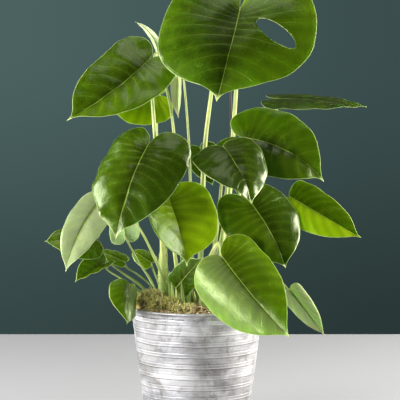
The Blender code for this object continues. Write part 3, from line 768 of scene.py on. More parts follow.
def stalk_look(stalk):
    """Pale yellow-green stalk with lighter ridges, darker streaks and a dull foot"""
    look, w, shader = new_material("stalk skin", stalk.roughness)
    along = w.map("along")
    turn, height, _ = w.parts(along)
    streaks = streaked(w, along, (1.0, 0.012, 1.0), 13.0)
    mottle = mottled(w, w.place(), 70.0)
    pale = w.parts(w.map("pale"))[0]
    groove = w.ease(w.maths("PINGPONG", turn, 1.0), 0.12, 0.24, 1.0, 0.0)
    green = w.coats(w.mix(pale, stalk.deep_green, stalk.pale_green),
                    (streaks["Bands"], 0.18, stalk.deep_green),
                    (w.times(streaks["Lines"], pale), 0.6, stalk.ridge_cream),
                    (mottle["Patches"], 0.25, stalk.deep_green),
                    (w.ease(height, 0.0, 2.0, 1.0, 0.0), 0.55, stalk.foot_green),
                    (groove, 0.35, stalk.deep_green))
    w.feed(shader["Base Color"], green)
    w.feed(shader["Roughness"], w.total(stalk.roughness - 0.07, (mottle["Grain"], 0.15)))
    w.feed(shader["Normal"], w.bump(w.total(streaks["Lines"], (mottle["Grain"], 0.5)), 0.12))
    let_light_through(shader, 0.3, 2.5, (0.6, 1.0, 0.2))
    return look


def stem_look(stalk):
    """Green stem with brown leaf scars and cracked, corky patches"""
    look, w, shader = new_material("stem skin", 0.6)
    place = w.place()
    scar = w.ease(w.maths("PINGPONG", w.parts(w.map("along"))[1], 0.5), 0.02, 0.10, 1.0, 0.0)
    mottle = mottled(w, place, 110.0, 0.45, 0.62)
    streaks = streaked(w, place, (1.0, 1.0, 0.15), 500.0)
    green = w.coats(stalk.stem_green, (streaks["Bands"], 0.5, stalk.deep_green),
                    (mottle["Patches"], 0.35, stalk.cork_brown), (scar, 0.6, stalk.cork_brown))
    w.feed(shader["Base Color"], green)
    height = w.total(0.0, (scar, -0.6), (streaks["Lines"], 0.4), (mottle["Patches"], 0.5))
    w.feed(shader["Normal"], w.bump(height, 0.5))
    return look


def stake_look(stalk):
    """Dark brown cane with fine lengthwise fibres and paler rings"""
    look, w, shader = new_material("cane", 0.5)
    place = w.place()
    streaks = streaked(w, place, (1.0, 1.0, 0.02), 1500.0)
    mottle = mottled(w, place, 60.0)
    ring = w.ease(w.maths("PINGPONG", w.parts(w.map("along"))[1], 0.5), 0.0, 0.03, 1.0, 0.0)
    brown = w.mix(streaks["Lines"], stalk.cane_dark, stalk.cane_light)
    brown = w.coats(brown, (mottle["Patches"], 0.35, stalk.cane_dark),
                    (ring, 0.7, stalk.cane_light))
    w.feed(shader["Base Color"], brown)
    w.feed(shader["Normal"], w.bump(streaks["Lines"], 0.15))
    return look


def zinc_look(pot):
    """Limewashed zinc: chalky white over grey metal and stained, with highlight lines painted on
    the bands in the limewash colour and painted shadow lines beside them
    """
    look, w, shader = new_material("limewashed zinc", pot.roughness, pot.metallic)
    place = w.place()
    wash = mottled(w, w.stretch(place, (1.0, 1.0, 1.6)), 17.0, 0.38, 0.62, 0.9)
    stain = mottled(w, w.stretch(place, (1.0, 1.0, 0.7)), 34.0, 0.48, 0.68, 1.4)
    cloud = mottled(w, w.stretch(place, (1.0, 1.0, 0.3)), 26.0, 0.40, 0.66, 0.6)
    smear = streaked(w, place, (0.14, 0.14, 1.0), 260.0)
    brushed = streaked(w, place, (0.05, 0.05, 1.0), 900.0)
    spangle = w.parts(w.cells(place, 150.0, output="Color"))[0]
    band, edge, _ = w.parts(w.map("bands"))
    # The bands map paints a highlight line on each band in the limewash colour and a shadow line
    # beside it, patchy along the wall.
    line_strength = w.add(w.times(smear["Bands"], 0.5), 0.5)
    grey = w.coats(pot.zinc_grey, (spangle, 0.35, pot.zinc_light),
                   (wash["Patches"], 0.65, pot.limewash_and_highlight),
                   (cloud["Patches"], 0.40, pot.stain_brown),
                   (stain["Patches"], 0.75, pot.stain_brown),
                   (smear["Bands"], 0.25, pot.stain_brown),
                   (brushed["Lines"], 0.35, pot.zinc_dark),
                   (w.times(band, line_strength), 0.85, pot.limewash_and_highlight),
                   (w.times(edge, line_strength), 0.90, pot.zinc_dark))
    w.feed(shader["Base Color"], grey)
    metal = w.total(pot.metallic, (wash["Patches"], -0.35), (stain["Patches"], -0.2))
    w.feed(shader["Metallic"], metal)
    rough = w.total(pot.roughness - 0.08, (wash["Patches"], 0.18), (brushed["Bands"], 0.08))
    w.feed(shader["Roughness"], rough)
    height = w.total(0.0, (brushed["Lines"], 0.35), (wash["Grain"], 0.4), (wash["Patches"], 0.4))
    w.feed(shader["Normal"], w.bump(height, 0.12))
    return look


def soil_look(soil):
    """Crumbly dark peat with lighter fibres and grit"""
    look, w, shader = new_material("peat", 0.9)
    place = w.place()
    crumbs = w.parts(w.cells(place, 520.0, output="Color"))
    mottle = mottled(w, place, 90.0)
    streaks = streaked(w, place, (1.0, 0.15, 1.0), 900.0)
    brown = w.mix(mottle["Patches"], soil.peat_dark, soil.peat_brown)
    brown = w.coats(brown, (w.ease(crumbs[0], 0.82, 0.9), 0.7, soil.fibre_tan),
                    (streaks["Lines"], 0.3, soil.bark_brown))
    w.feed(shader["Base Color"], brown)
    w.feed(shader["Normal"], w.bump(w.total(mottle["Grain"], (crumbs[1], 0.6)), 1.2))
    return look


def bark_look(soil):
    """Bark chips and coir, each chip with its own brown"""
    look, w, shader = new_material("bark and coir", 0.8)
    own, pale, _ = w.parts(w.map("own"))
    streaks = streaked(w, w.place(), (1.0, 0.2, 1.0), 800.0)
    brown = w.coats(w.mix(own, soil.peat_brown, soil.bark_brown), (pale, 1.0, soil.fibre_tan),
                    (streaks["Lines"], 0.45, soil.peat_dark))
    w.feed(shader["Base Color"], brown)
    w.feed(shader["Normal"], w.bump(streaks["Lines"], 0.5))
    return look


def moss_look(soil):
    """Moss sprigs from olive to yellow-green, brown at the foot"""
    look, w, shader = new_material("moss", 0.75)
    own, high, _ = w.parts(w.map("own"))
    mottle = mottled(w, w.place(), 160.0, 0.4, 0.6)
    green = w.coats(w.mix(own, soil.moss_olive, soil.moss_lime),
                    (mottle["Patches"], 0.3, soil.moss_olive),
                    (w.ease(high, 0.0, 0.6, 1.0, 0.0), 0.6, soil.bark_brown))
    w.feed(shader["Base Color"], green)
    w.feed(shader["Normal"], w.bump(mottle["Grain"], 0.4))
    let_light_through(shader, 0.4, 2.0, (0.8, 1.0, 0.2))
    return look


# Blades


def blade_size(width):
    """Steps along a blade and steps from its midrib to its margin"""
    for widest, columns, rows in ((75, 168, 17), (45, 112, 13)):
        if width > widest:
            return columns, rows
    return 72, 9


def blade_rows(count):
    """Shares of the way from the midrib to the margin, close together beside the midrib"""
    return np.concatenate([[0, 0.012, 0.03], np.linspace(0.03, 1, count - 1)[1:]])


def blade_grid(shape, side, share, out, seed):
    """Flat places of one half's vertices along its side veins, and how near each is to an edge"""
    blade = shape.blade
    rib = share[:, None] ** VEIN_POWER * shape.length
    nibble = 0.002 * blade.width * np.sin(share * (37 + 5 * side) + seed) * np.sin(pi * share)
    edge = shape.half_outline(side, len(share)) + 0.5 * nibble[:, None]
    x = edge[:, :1] * out * side
    y = rib + (edge[:, 1:] - rib) * out ** VEIN_CURL
    x[0], x[-1] = 0, 0
    y[0], y[-1] = 0, shape.length
    gap = np.hypot(x[..., None] - edge[:, 0] * side, y[..., None] - edge[:, 1])
    reach = np.minimum(gap.min(axis=2), (1 - out) * blade.width)
    if blade.name == HOLED_BLADE and side > 0:
        reach = np.minimum(reach, np.maximum(shape.hole_distance(x, y), 0))
    return x, y, reach


def half_normals(shape, side, x, y):
    """The upper face's normals, evened out where the two halves meet"""
    beside = 0.1
    normals = shape.normal(np.where(np.abs(x) < beside, beside * side, x), y)
    either = np.full_like(x[:, 0], beside)
    middle = unit_rows(shape.normal(either, y[:, 0]) + shape.normal(-either, y[:, 0]))
    normals[:, 0] = middle
    normals[0], normals[-1] = middle[0], middle[-1]
    return normals


def blade_relief(blade, look, leaf, side, share, out, points, seed):
    """How far the skin lies off its smooth shape: puffs between veins, margin waves and bumps"""
    start = share[:, None]
    calm = np.sin(pi * np.clip(out, 0, 1) ** 0.75) ** 0.8
    calm = calm * step(0.02, 0.12, start) * step(1.0, 0.93, start)
    apart = (0.25 + 0.75 * start ** 0.8) * (0.45 + 0.55 * np.sin(pi * out ** 0.8))
    puff = np.abs(np.sin(pi * start * look.veins)) ** 1.3 - 0.4
    wave = np.sin(share * (14 + look.veins) * 1.3 + seed * 1.7 + side)
    wave = (wave + 0.6 * np.sin(share * 31 + seed * 2.9 - side)) * step(0.0, 0.15, share)
    bumps = soft_noise(points, blade.width * 0.6, seed)
    bumps = bumps + 0.35 * soft_noise(points, blade.width * 0.22, seed + 50)
    lift = 0.42 * look.puff * leaf.puff * puff * calm * apart
    lift += 0.6 * look.wave * leaf.wave * out ** 3 * wave[:, None]
    lift += 0.013 * blade.width * bumps * min(1, look.puff + 0.1) * step(0, 0.2, start)
    lift[-1] = lift[-1, 0]
    lift[0] = 0
    return lift


def blade_maps(look, side, share, out, x, y, reach):
    """The pairs of numbers that the blade looks read, by the name of their UV map"""
    start = share[:, None]
    own, other = (look.right, look.left) if side > 0 else (look.left, look.right)
    # Painted light and shade: over the blade's own green, one half is made lighter than the other,
    # and the lobes, the tip and the margin lighter, where light falls more on them.
    tone = own + look.lobes * step(0.35, 0.0, start) + look.tip * step(0.7, 1.0, start)
    tone = tone + 0.05 * (1 - out) + look.edge * out ** 2
    tone = tone + (other - own) * 0.5 * step(0.06, 0.0, out)
    # Pale film on young blades and painted sheen on glossy ones, kept off the midrib.
    film_and_sheen = (look.bloom_right if side > 0 else look.bloom_left) * step(0.0, 0.14, out)
    pairs = {"veins": (side * out, start * look.veins), "flat": (x / CM, y / CM),
             "tone": (tone, film_and_sheen), "reach": (reach, start)}
    return {name: np.stack([first + 0 * x, second + 0 * x], axis=2)
            for name, (first, second) in pairs.items()}


def blade_half(shape, look, leaf, side, columns, out):
    """One half's upper layer, lower layer and rim, and its maps, all by column and row"""
    blade = shape.blade
    seed = int(blade.name[-2:])
    share = np.linspace(0, 1, columns + 1)
    x, y, reach = blade_grid(shape, side, share, out, seed)
    points = shape.place(x, y)
    normals = half_normals(shape, side, x, y)
    lift = blade_relief(blade, look, leaf, side, share, out, points, seed)
    points = points + normals * lift[..., None]
    taper = (1 - share) ** 0.8
    ridge = (leaf.midrib / MM + 0.010 * blade.width) * taper
    above = leaf.thickness / MM * (1 - 0.45 * out) / 2 + 0 * x
    below = above.copy()
    above[:, 0] -= leaf.groove / MM * taper
    below[:, 0] += ridge
    below[:, 1] += 0.55 * ridge
    rim = points + (unit_rows(points[:, -1] - points[:, -3]) * RIM_REACH)[:, None]
    upper = points + normals * above[..., None]
    lower = points - normals * below[..., None]
    return {1: upper, -1: lower, 0: rim}, blade_maps(look, side, share, out, x, y, reach)


def blade_mesh(shape, look, leaf):
    """A thin puckered skin with a sunken midrib above, a raised one below and a rounded margin"""
    columns, rows = blade_size(shape.blade.width)
    out = blade_rows(rows)
    rows = len(out) - 1
    vertices, faces, slots = [], [], []
    index, maps = {}, {}

    def key(skin, c, r, side):
        """Names a vertex by skin (1 upper, -1 lower, 0 rim); both halves share midrib and ends"""
        return (skin or 1, c, 0, 0) if r == 0 or c in (0, columns) else (skin, c, r, side)

    def add_face(keys, slot, turned_round):
        corners = tuple(dict.fromkeys(index[key(*corner)] for corner in keys))
        if len(corners) > 2:
            faces.append(corners[::-1] if turned_round else corners)
            slots.append(slot)

    for side in (-1, 1):
        layers, pairs = blade_half(shape, look, leaf, side, columns, out)
        for skin, layer in layers.items():
            for c in range(columns + 1):
                for r in range(0 if skin else rows, rows + 1):
                    if key(skin, c, r, side) in index:
                        continue
                    index[key(skin, c, r, side)] = len(vertices)
                    vertices.append(layer[c, r])
                    for name, values in pairs.items():
                        maps.setdefault(name, []).append(values[c, r])
    for side in (-1, 1):
        for c in range(columns):
            for r in range(rows):
                for skin in (1, -1):
                    quad = [(skin, c, r, side), (skin, c + 1, r, side),
                            (skin, c + 1, r + 1, side), (skin, c, r + 1, side)]
                    add_face(quad, 0 if skin > 0 else 1, (side > 0) == (skin < 0))
            for above, below in ((1, 0), (0, -1)):
                strip = [(above, c, rows, side), (above, c + 1, rows, side),
                         (below, c + 1, rows, side), (below, c, rows, side)]
                add_face(strip, 0 if above else 1, side < 0)
    mesh = mesh_from(shape.blade.name + "_skin", vertices, faces, slots)
    for name, values in maps.items():
        add_coordinates(mesh, name, values)
    return mesh


def hole_cutter(shape, sides=64):
    """A smooth oval punch for the top blade's hole"""
    x = HOLE_CENTRE[0] * shape.half
    y = HOLE_CENTRE[1] * shape.length
    centre = shape.place(x, y)
    normal = shape.normal(x, y)
    along = unit(shape.place(x, y + 1) - centre)
    across = np.cross(normal, along)
    turn = radians(HOLE_ANGLE)
    first = along * cos(turn) + across * sin(turn)
    second = across * cos(turn) - along * sin(turn)
    reach = 12.0
    vertices = []
    for level in (-reach, reach):
        for k in range(sides):
            a = 2 * pi * k / sides
            flat = first * cos(a) * HOLE_SIZE[0] / 2 + second * sin(a) * HOLE_SIZE[1] / 2
            vertices.append(centre + flat + normal * level)
    faces = [tuple(reversed(range(sides))), tuple(range(sides, 2 * sides))]
    for k in range(sides):
        after = (k + 1) % sides
        faces.append((k, after, after + sides, k + sides))
    cutter = bpy.data.objects.new("hole punch", mesh_from("hole punch", vertices, faces))
    bpy.context.collection.objects.link(cutter)
    return cutter


def punch_hole(piece, shape):
    """Cuts the hole for good and takes the punch away again"""
    cutter = hole_cutter(shape)
    cut = piece.modifiers.new("hole", "BOOLEAN")
    cut.operation = "DIFFERENCE"
    cut.solver = "EXACT"
    cut.object = cutter
    graph = bpy.context.evaluated_depsgraph_get()
    punched = bpy.data.meshes.new_from_object(piece.evaluated_get(graph))
    piece.modifiers.clear()
    whole = piece.data
    piece.data = punched
    bpy.data.meshes.remove(whole)
    bpy.data.objects.remove(cutter)
    punched.name = piece.name


# Stalks, stems and cane


def stalk_line(stalk, shape):
    """The middle line of a stalk from inside the soil to the blade's underside"""
    stem = next(s for s in STEMS if s.name == stalk.stem)
    turn = radians(stalk.turn)
    x = stem.foot[0] + stalk.reach * cos(turn)
    y = stem.foot[1] + stalk.reach * sin(turn)
    on_stem = stalk.reach == 0
    start = np.array([x, y, soil_height(x, y) + (stem.height if on_stem else 0)])
    beside, beyond = np.array(0.1), np.array(0.5)
    under = unit(-shape.normal(beside, beyond) - shape.normal(-beside, beyond))
    end = shape.base + under * (FRAME_BLADE_THICKNESS / 2 + JOINT_GAP)
    toward = unit(np.array(stalk.via[-1], float) - end)
    shoulder = end + unit(under * 1.2 + toward) * (5 + 3 * stalk.top_radius)
    neck = end + under * 2 * stalk.top_radius
    sink = np.array([0, 0, 5.0])
    route = [start - sink, start + sink, *stalk.via, shoulder, neck, shape.base + under * 0.2]
    length = np.sum(np.linalg.norm(np.diff(np.array(route, float), axis=0), axis=1))
    return smooth_curve(route, int(length / 3.0) + 8)


def stalk_mesh(name, stalk, shape, number, settings):
    """A grooved stalk with a thin sheath on both sides of its lower part and a swollen knee"""
    points = stalk_line(stalk, shape)
    sides = 18
    steps = np.linalg.norm(np.diff(points, axis=0), axis=1)
    along = np.concatenate([[0], np.cumsum(steps)])
    share = along / along[-1]
    left = along[-1] - along
    radius = stalk.foot_radius + (stalk.top_radius - stalk.foot_radius) * np.minimum(1, share * 1.3)
    knee = np.exp(-((left - 9) / 7.5) ** 2)
    wrinkle = np.sin(left * 2.1) * step(20, 10, left) * 0.025
    radius = radius * (1 + 0.24 * knee * settings.knee + wrinkle) * (1 - 0.3 * step(3, 0, left))
    wing = 0.42 * settings.sheath * step(0.52, 0.40, share) * step(-0.02, 0.06, share)
    forward = unit_rows(np.gradient(points, axis=0))
    side = np.array([-points[0, 0], -points[0, 1], 0.0]) + 1e-3
    vertices, values = [], []
    for k, (point, ahead) in enumerate(zip(points, forward)):
        side = unit(side - ahead * (side @ ahead))
        other = np.cross(ahead, side)
        for n in range(sides):
            turn = 2 * pi * n / sides
            turn = turn if turn <= pi else turn - 2 * pi
            reach = 1 - 0.22 * np.exp(-(turn / 0.5) ** 2)
            reach += wing[k] * np.exp(-((abs(turn) - 0.8) / 0.28) ** 2)
            vertices.append(point + (side * cos(turn) + other * sin(turn)) * radius[k] * reach)
            values.append((abs(turn) / pi + 2 * number, along[k] / CM))
    mesh = mesh_from(name, vertices, capped_faces(len(vertices), sides))
    add_coordinates(mesh, "along", values)
    thick = step(1.6, 3.0, stalk.foot_radius)
    paleness = 0.8 * thick * (0.08 + 0.92 * step(0.14, 0.46, share)) + 0.2 * share
    add_coordinates(mesh, "pale", np.repeat(np.column_stack([paleness, share]), sides, axis=0))
    return mesh


def joint_distance(heights, joint):
    """How far heights lie from the nearest joint, where joints are that far apart"""
    return np.abs((heights / joint + 0.5) % 1 - 0.5) * joint


def stem_mesh(stem, number):
    """A thick short stem: joints with raised scars, a flared foot in the soil and a rounded top"""
    sides = 28
    joint = 9.0
    sink = 7.0
    x, y = stem.foot
    base = soil_height(x, y)
    top = [stem.height - 0.8, stem.height]
    heights = np.concatenate([np.arange(-sink, stem.height - 1.5, 0.7), top])
    share = np.clip(heights / stem.height, 0, 1)
    radius = stem.foot_radius + (stem.top_radius - stem.foot_radius) * share
    near = joint_distance(heights, joint)
    scar = 0.09 * np.exp(-(near / 1.2) ** 2) - 0.04 * np.exp(-((near - 2.2) / 0.9) ** 2)
    radius = radius * (0.97 + scar)
    radius[-2:] *= (0.86, 0.55)
    vertices, values = [], []
    for height, ring in zip(heights, radius):
        lean = np.array([0.4 * sin(height / 9 + number), 0.4 * cos(height / 11 + number), 0])
        for n in range(sides):
            turn = 2 * pi * n / sides
            bulge = 1 + 0.05 * sin(2 * turn + int(height / joint) * 2.4)
            bulge += 0.02 * sin(5 * turn + number)
            reach = ring * bulge
            spot = np.array([x + reach * cos(turn), y + reach * sin(turn), base + height])
            vertices.append(spot + lean)
            values.append((abs(turn - pi) / pi, height / joint + 10))
    mesh = mesh_from(stem.name + "_skin", vertices, capped_faces(len(vertices), sides))
    add_coordinates(mesh, "along", values)
    return mesh


def cane_mesh():
    """A thin cane with slight joints, pushed into the soil"""
    x, y = STAKE_FOOT
    heights = np.linspace(soil_height(x, y) - 8, STAKE_TOP, 220)
    joint = 74.0
    near = joint_distance(heights, joint)
    radius = STAKE_RADIUS * (0.94 + 0.10 * np.exp(-(near / 1.6) ** 2))
    radius[-1] *= 0.8
    bow = 0.5 * np.sin((heights - heights[0]) / (heights[-1] - heights[0]) * pi)
    line = np.column_stack([x + bow, y + 0 * heights, heights])
    vertices, faces = tube(line, radius, 14)
    mesh = mesh_from("cane_skin", vertices, faces)
    add_coordinates(mesh, "along", np.column_stack([0 * vertices[:, 2], vertices[:, 2] / joint]))
    return mesh


def shoot(foot, out, radius, tall, lean):
    """A pointed, channelled sheath: the vertices, faces and maps of one young shoot"""
    steps, sides = 16, 7
    thickness = 0.45
    across = np.array([-out[1], out[0], 0.0])
    out = np.array([out[0], out[1], 0.0])
    vertices, along = [], []
    for k in range(steps):
        share = k / (steps - 1)
        middle = foot + np.array([0, 0, tall * share]) + out * lean * tall * share ** 2
        narrow = max(0.06, (1 - share ** 5)) * (0.85 + 0.15 * sin(pi * share))
        spread = 1.35 * (1 - 0.35 * share)
        for skin, inset in ((1, 0.0), (-1, thickness)):
            for n in range(sides):
                a = spread * (2 * n / (sides - 1) - 1) * skin
                reach = max(0.1, radius * narrow - inset)
                vertices.append(middle + out * reach * cos(a) + across * reach * sin(a))
                along.append((abs(a) / pi, tall * share / CM))
    return vertices, capped_faces(len(vertices), 2 * sides), along


def shoots_mesh(settings):
    """Sheaths that hug the feet of the stalks, and young shoots standing between them"""
    source = np.random.default_rng(8)
    heap = MeshParts()
    for stalk in STALKS.values():
        if stalk.reach == 0 or stalk.foot_radius < 2.2:
            continue
        stem = next(s for s in STEMS if s.name == stalk.stem)
        turn = radians(stalk.turn)
        out = np.array([cos(turn), sin(turn)])
        x, y = np.array(stem.foot) + stalk.reach * out
        foot = np.array([x, y, soil_height(x, y) - 3])
        tall = source.uniform(24, 46)
        vertices, faces, along = shoot(foot, out, stalk.foot_radius + 0.9, tall, 0.10)
        heap.add(vertices, faces, along=along, pale=(source.uniform(0.1, 0.8), 0.2))
    for _ in range(settings.shoots):
        x, y = source.uniform(-32, 18), source.uniform(-42, -4)
        out = unit(np.array([x + 6, y - 14]))
        foot = np.array([x, y, soil_height(x, y) - 3])
        tall = source.uniform(20, 42)
        radius = source.uniform(1.9, 3.4)
        vertices, faces, along = shoot(foot, out, radius, tall, source.uniform(0.02, 0.3))
        heap.add(vertices, faces, along=along, pale=(source.uniform(0, 0.9), 0.2))
    return heap.mesh("shoots")


# Pot, soil and what lies on it


def pot_profile(pot):
    """Points (radius, height, band, edge) from the middle of the bottom to the inside floor"""
    rise = pot.rib_rise / MM
    # At the foot, a painted shadow line on the bottom edge and a painted highlight on the rounded
    # corner above it.
    points = [(0, 0, 0, 0), (30, 0, 0, 0), (POT_BOTTOM_RADIUS - 1.8, 0, 0, 0.6),
              (POT_BOTTOM_RADIUS - 0.7, 0.25, 0, 0.8), (pot_radius(1.2), 1.2, 0.4, 0.3),
              (pot_radius(3), 3, 0, 0)]
    for k in reversed(range(RIB_COUNT)):
        low = RIB_TOP_HEIGHT - RIB_WIDTH / 2 - k * RIB_PITCH
        points += [(pot_radius(low + above) + rise * out, low + above, band, edge)
                   for above, out, band, edge in RIB_PROFILE]
    points += [(pot_radius(height), height, 0, edge) for height, edge in RIM_NECK]
    bead_height = POT_HEIGHT - RIM_BEAD_RADIUS
    bead_radius = pot_radius(bead_height) - POT_WALL / 2
    # The bead is painted darker as shade, most on its underside.
    for degrees in range(-60, 221, 20):
        turn = radians(degrees)
        radius = bead_radius + RIM_BEAD_RADIUS * cos(turn)
        height = bead_height + RIM_BEAD_RADIUS * sin(turn)
        points.append((radius, height, 0, 0.3 if degrees > -30 else 0.8))
    # Inside, a painted shadow line under the rim.
    for height, edge in ((NECK_HEIGHT, 0.6), (120, 0), (60, 0), (POT_FLOOR, 0)):
        points.append((pot_radius(height) - POT_WALL, height, 0, edge))
    points.append((0, POT_FLOOR, 0, 0))
    return points


def pot_mesh(pot):
    """The ribbed pot wall with its rolled rim, slightly dented as thin sheet is"""
    sides = 208
    turns = np.arange(sides) * 2 * pi / sides
    depth = pot.dents / MM
    rings, values = [], []
    for radius, height, band, edge in pot_profile(pot):
        ring = np.column_stack([radius * np.cos(turns), radius * np.sin(turns), 0 * turns + height])
        if radius == 0:
            ring = ring[:1]
        else:
            dent = soft_noise(ring, 62, 5) + 0.4 * soft_noise(ring, 21, 6)
            dent = depth * dent * step(0, 12, height)
            wobble = 0.25 * depth * soft_noise(ring, 40, 7) * step(0, 30, height)
            ring[:, :2] *= (1 + dent / radius)[:, None]
            ring[:, 2] += wobble
        rings.append(ring)
        values += [(band, edge)] * len(ring)
    mesh = mesh_from("pot_skin", *turned(rings, sides))
    add_coordinates(mesh, "bands", values)
    return mesh


def soil_mesh(soil):
    """Soil that fills the pot, crumbly and slightly domed on top"""
    sides, steps = 150, 48
    floor = 2.4
    wall = pot_radius(floor) - POT_WALL - 0.5
    top_wall = pot_radius(NECK_HEIGHT) - POT_WALL - 0.6
    inner = top_wall - RIM_BEAD_RADIUS
    profile = [(0, floor), (wall, floor), (top_wall, NECK_HEIGHT - 1.5),
               (inner, SOIL_EDGE_HEIGHT - 0.6)]
    profile += [(inner * k / steps, None) for k in reversed(range(steps))]
    turns = np.arange(sides) * 2 * pi / sides
    rings = []
    for radius, height in profile:
        level = 0 * turns + (height or 0)
        ring = np.column_stack([radius * np.cos(turns), radius * np.sin(turns), level])
        if height is None:
            rough = 0.9 * soft_noise(ring, 19, 11) + 0.6 * soft_noise(ring, 6.5, 12)
            rough += 0.35 * soft_noise(ring, 2.7, 13)
            rough *= soil.roughness_height / MM * (0.35 + 0.65 * step(inner, inner - 8, radius))
            ring[:, 2] = soil_height(ring[:, 0], ring[:, 1]) + rough
        rings.append(ring if radius else ring[:1])
    return mesh_from("soil_body", *turned(rings, sides))


def turned_flat(source, tilt):
    """Two directions at right angles, lying nearly flat, and the way up between them"""
    turn = source.uniform(0, 2 * pi)
    first = unit([cos(turn), sin(turn), source.normal(0, tilt)])
    up = unit(np.array([source.normal(0, tilt), source.normal(0, tilt), 1.0]))
    second = unit(np.cross(up, first))
    return first, second, np.cross(first, second)


def bark_mesh(soil):
    """Bark chips and coir threads strewn over the soil"""
    source = np.random.default_rng(21)
    heap = MeshParts()
    edge = SOIL_RADIUS - 5
    for _ in range(soil.chips):
        radius = edge * source.uniform(0, 1) ** 0.5
        turn = source.uniform(0, 2 * pi)
        x, y = radius * cos(turn), radius * sin(turn)
        centre = np.array([x, y, soil_height(x, y) + source.uniform(0.3, 1.8)])
        first, second, up = turned_flat(source, 0.35)
        size = source.uniform(0.4, 1.0)
        long, wide, thick = 5.2 * size, 3.0 * size, source.uniform(0.4, 1.1)
        vertices = []
        for level in (-1, 1):
            for k in range(7):
                a = 2 * pi * (k + source.uniform(-0.25, 0.25)) / 7
                reach = source.uniform(0.7, 1.1) * (0.82 if level > 0 else 1.0)
                flat = centre + first * cos(a) * long * reach + second * sin(a) * wide * reach
                vertices.append(flat + up * level * thick * source.uniform(0.7, 1.2))
        faces = [tuple(reversed(range(7))), tuple(range(7, 14))]
        faces += [(k, (k + 1) % 7, (k + 1) % 7 + 7, k + 7) for k in range(7)]
        heap.add(vertices, faces, own=(source.uniform(0, 1), 0.9 * source.uniform(0, 1) ** 1.5))
    for _ in range(soil.threads):
        radius = edge * source.uniform(0, 1) ** 0.5
        turn = source.uniform(0, 2 * pi)
        x, y = radius * cos(turn), radius * sin(turn)
        first, second, up = turned_flat(source, 0.25)
        long = source.uniform(3, 9)
        bow = source.uniform(-0.35, 0.35) * long
        line = []
        for t in np.linspace(-1, 1, 7):
            spot = np.array([x, y, 0]) + first * t * long + second * bow * (1 - t * t)
            bed = soil_height(spot[0], spot[1]) + float(moss_rise(spot[0], spot[1]))
            spot[2] = bed + 1.2 + source.uniform(-0.4, 0.9) + first[2] * t * long
            line.append(spot)
        vertices, faces = tube(smooth_curve(line, 10), source.uniform(0.3, 0.65), 5)
        heap.add(vertices, faces, own=(source.uniform(0, 1), source.uniform(0.3, 1.0)))
    return heap.mesh("bark_and_coir")


def moss_rise(x, y):
    """How high the moss stands above the soil at a place"""
    rise = 0 * x
    for (cx, cy), wide, deep, high in MOSS_PATCHES:
        inside = 1 - ((x - cx) / wide) ** 2 - ((y - cy) / deep) ** 2
        rise = np.maximum(rise, high * np.sqrt(np.clip(inside, 0, 1)))
    return rise


def moss_cushion(patch, edge):
    """A lumpy low cushion under one patch of moss: vertices and faces"""
    (cx, cy), wide, deep, high = patch
    rings, sides = 14, 36
    vertices = []
    for ring in range(rings + 1):
        share = 1 - ring / rings
        for k in range(sides):
            a = 2 * pi * k / sides
            x, y = cx + wide * share * cos(a), cy + deep * share * sin(a)
            inside = min(1, edge / np.hypot(x, y))
            x, y = x * inside, y * inside
            lift = (high - 3) * np.sqrt(max(0, 1 - share ** 2)) - (3 if ring == 0 else 1)
            vertices.append((x, y, soil_height(x, y) + lift))
    vertices = np.array(vertices)
    vertices[:, 2] += 1.6 * soft_noise(vertices, 9, 3)
    return vertices, capped_faces(len(vertices), sides)[:-1]


def add_sprig(heap, source, root, tall, grow, shade):
    """One leafy sprig of moss: five leaflets round a thin stalk"""
    sag = np.array([0, 0, 0.2])
    for k in range(5):
        a = 2.4 * k + source.uniform(0, 0.6)
        out = unit([cos(a), sin(a), source.uniform(0.2, 1.1)])
        flat = unit(np.cross(out, grow))
        start = root + grow * tall * (0.25 + 0.15 * k)
        long = source.uniform(2.2, 4.4)
        middle = start + out * long * 0.45 + np.array([0, 0, 0.25])
        leaflet = [start, middle + flat * 0.6, start + out * long, middle - flat * 0.6,
                   middle - sag]
        heap.add(leaflet, [(0, 1, 4), (1, 2, 4), (2, 3, 4), (3, 0, 4), (0, 3, 2, 1)],
                 own=(shade, 0.5 + 0.1 * k))
    stalk, faces = tube(np.array([root, root + grow * tall * 0.5, root + grow * tall]), 0.2, 3)
    heap.add(stalk, faces, own=(shade, 0.3))


def moss_mesh(soil):
    """A mound of moss: a lumpy cushion set with small leafy sprigs"""
    source = np.random.default_rng(33)
    heap = MeshParts()
    edge = SOIL_RADIUS - 2.5
    for patch in MOSS_PATCHES:
        vertices, faces = moss_cushion(patch, edge)
        heap.add(vertices, faces, own=(0.0, 0.1))
    placed = 0
    while placed < soil.sprigs:
        x, y = source.uniform(-edge, -4), source.uniform(-66, 50)
        rise = float(moss_rise(x, y))
        if rise < 0.8 or np.hypot(x, y) > edge:
            continue
        placed += 1
        root = np.array([x, y, soil_height(x, y) + rise - 4 + source.uniform(-1, 1)])
        grow = unit([source.normal(0, 0.45), source.normal(0, 0.45), 1])
        clump = float(soft_noise(np.array([[x, y, 0.0]]), 7, 14)[0])
        shade = min(1, max(0, 0.45 + 2.2 * clump + source.uniform(-0.2, 0.2)))
        add_sprig(heap, source, root, source.uniform(2.5, 5.0) + 5.0 * shade, grow, shade)
    return heap.mesh("moss")


# Settings


def size_property(name, description, default):
    return FloatProperty(name=name, description=description, default=default, min=0.0,
                         unit="LENGTH", precision=5)


def colour_property(name, description, default):
    return FloatVectorProperty(name=name, description=description, default=default, size=3,
                               min=0.0, max=1.0, subtype="COLOR")


def share_property(name, description, default, largest=1.0):
    return FloatProperty(name=name, description=description, default=default, min=0.0, max=largest,
                         subtype="FACTOR")


def power_property(name, description, default):
    return FloatProperty(name=name, description=description, default=default, min=0.0, unit="POWER")


def count_property(name, description, default):
    return IntProperty(name=name, description=description, default=default, min=0)


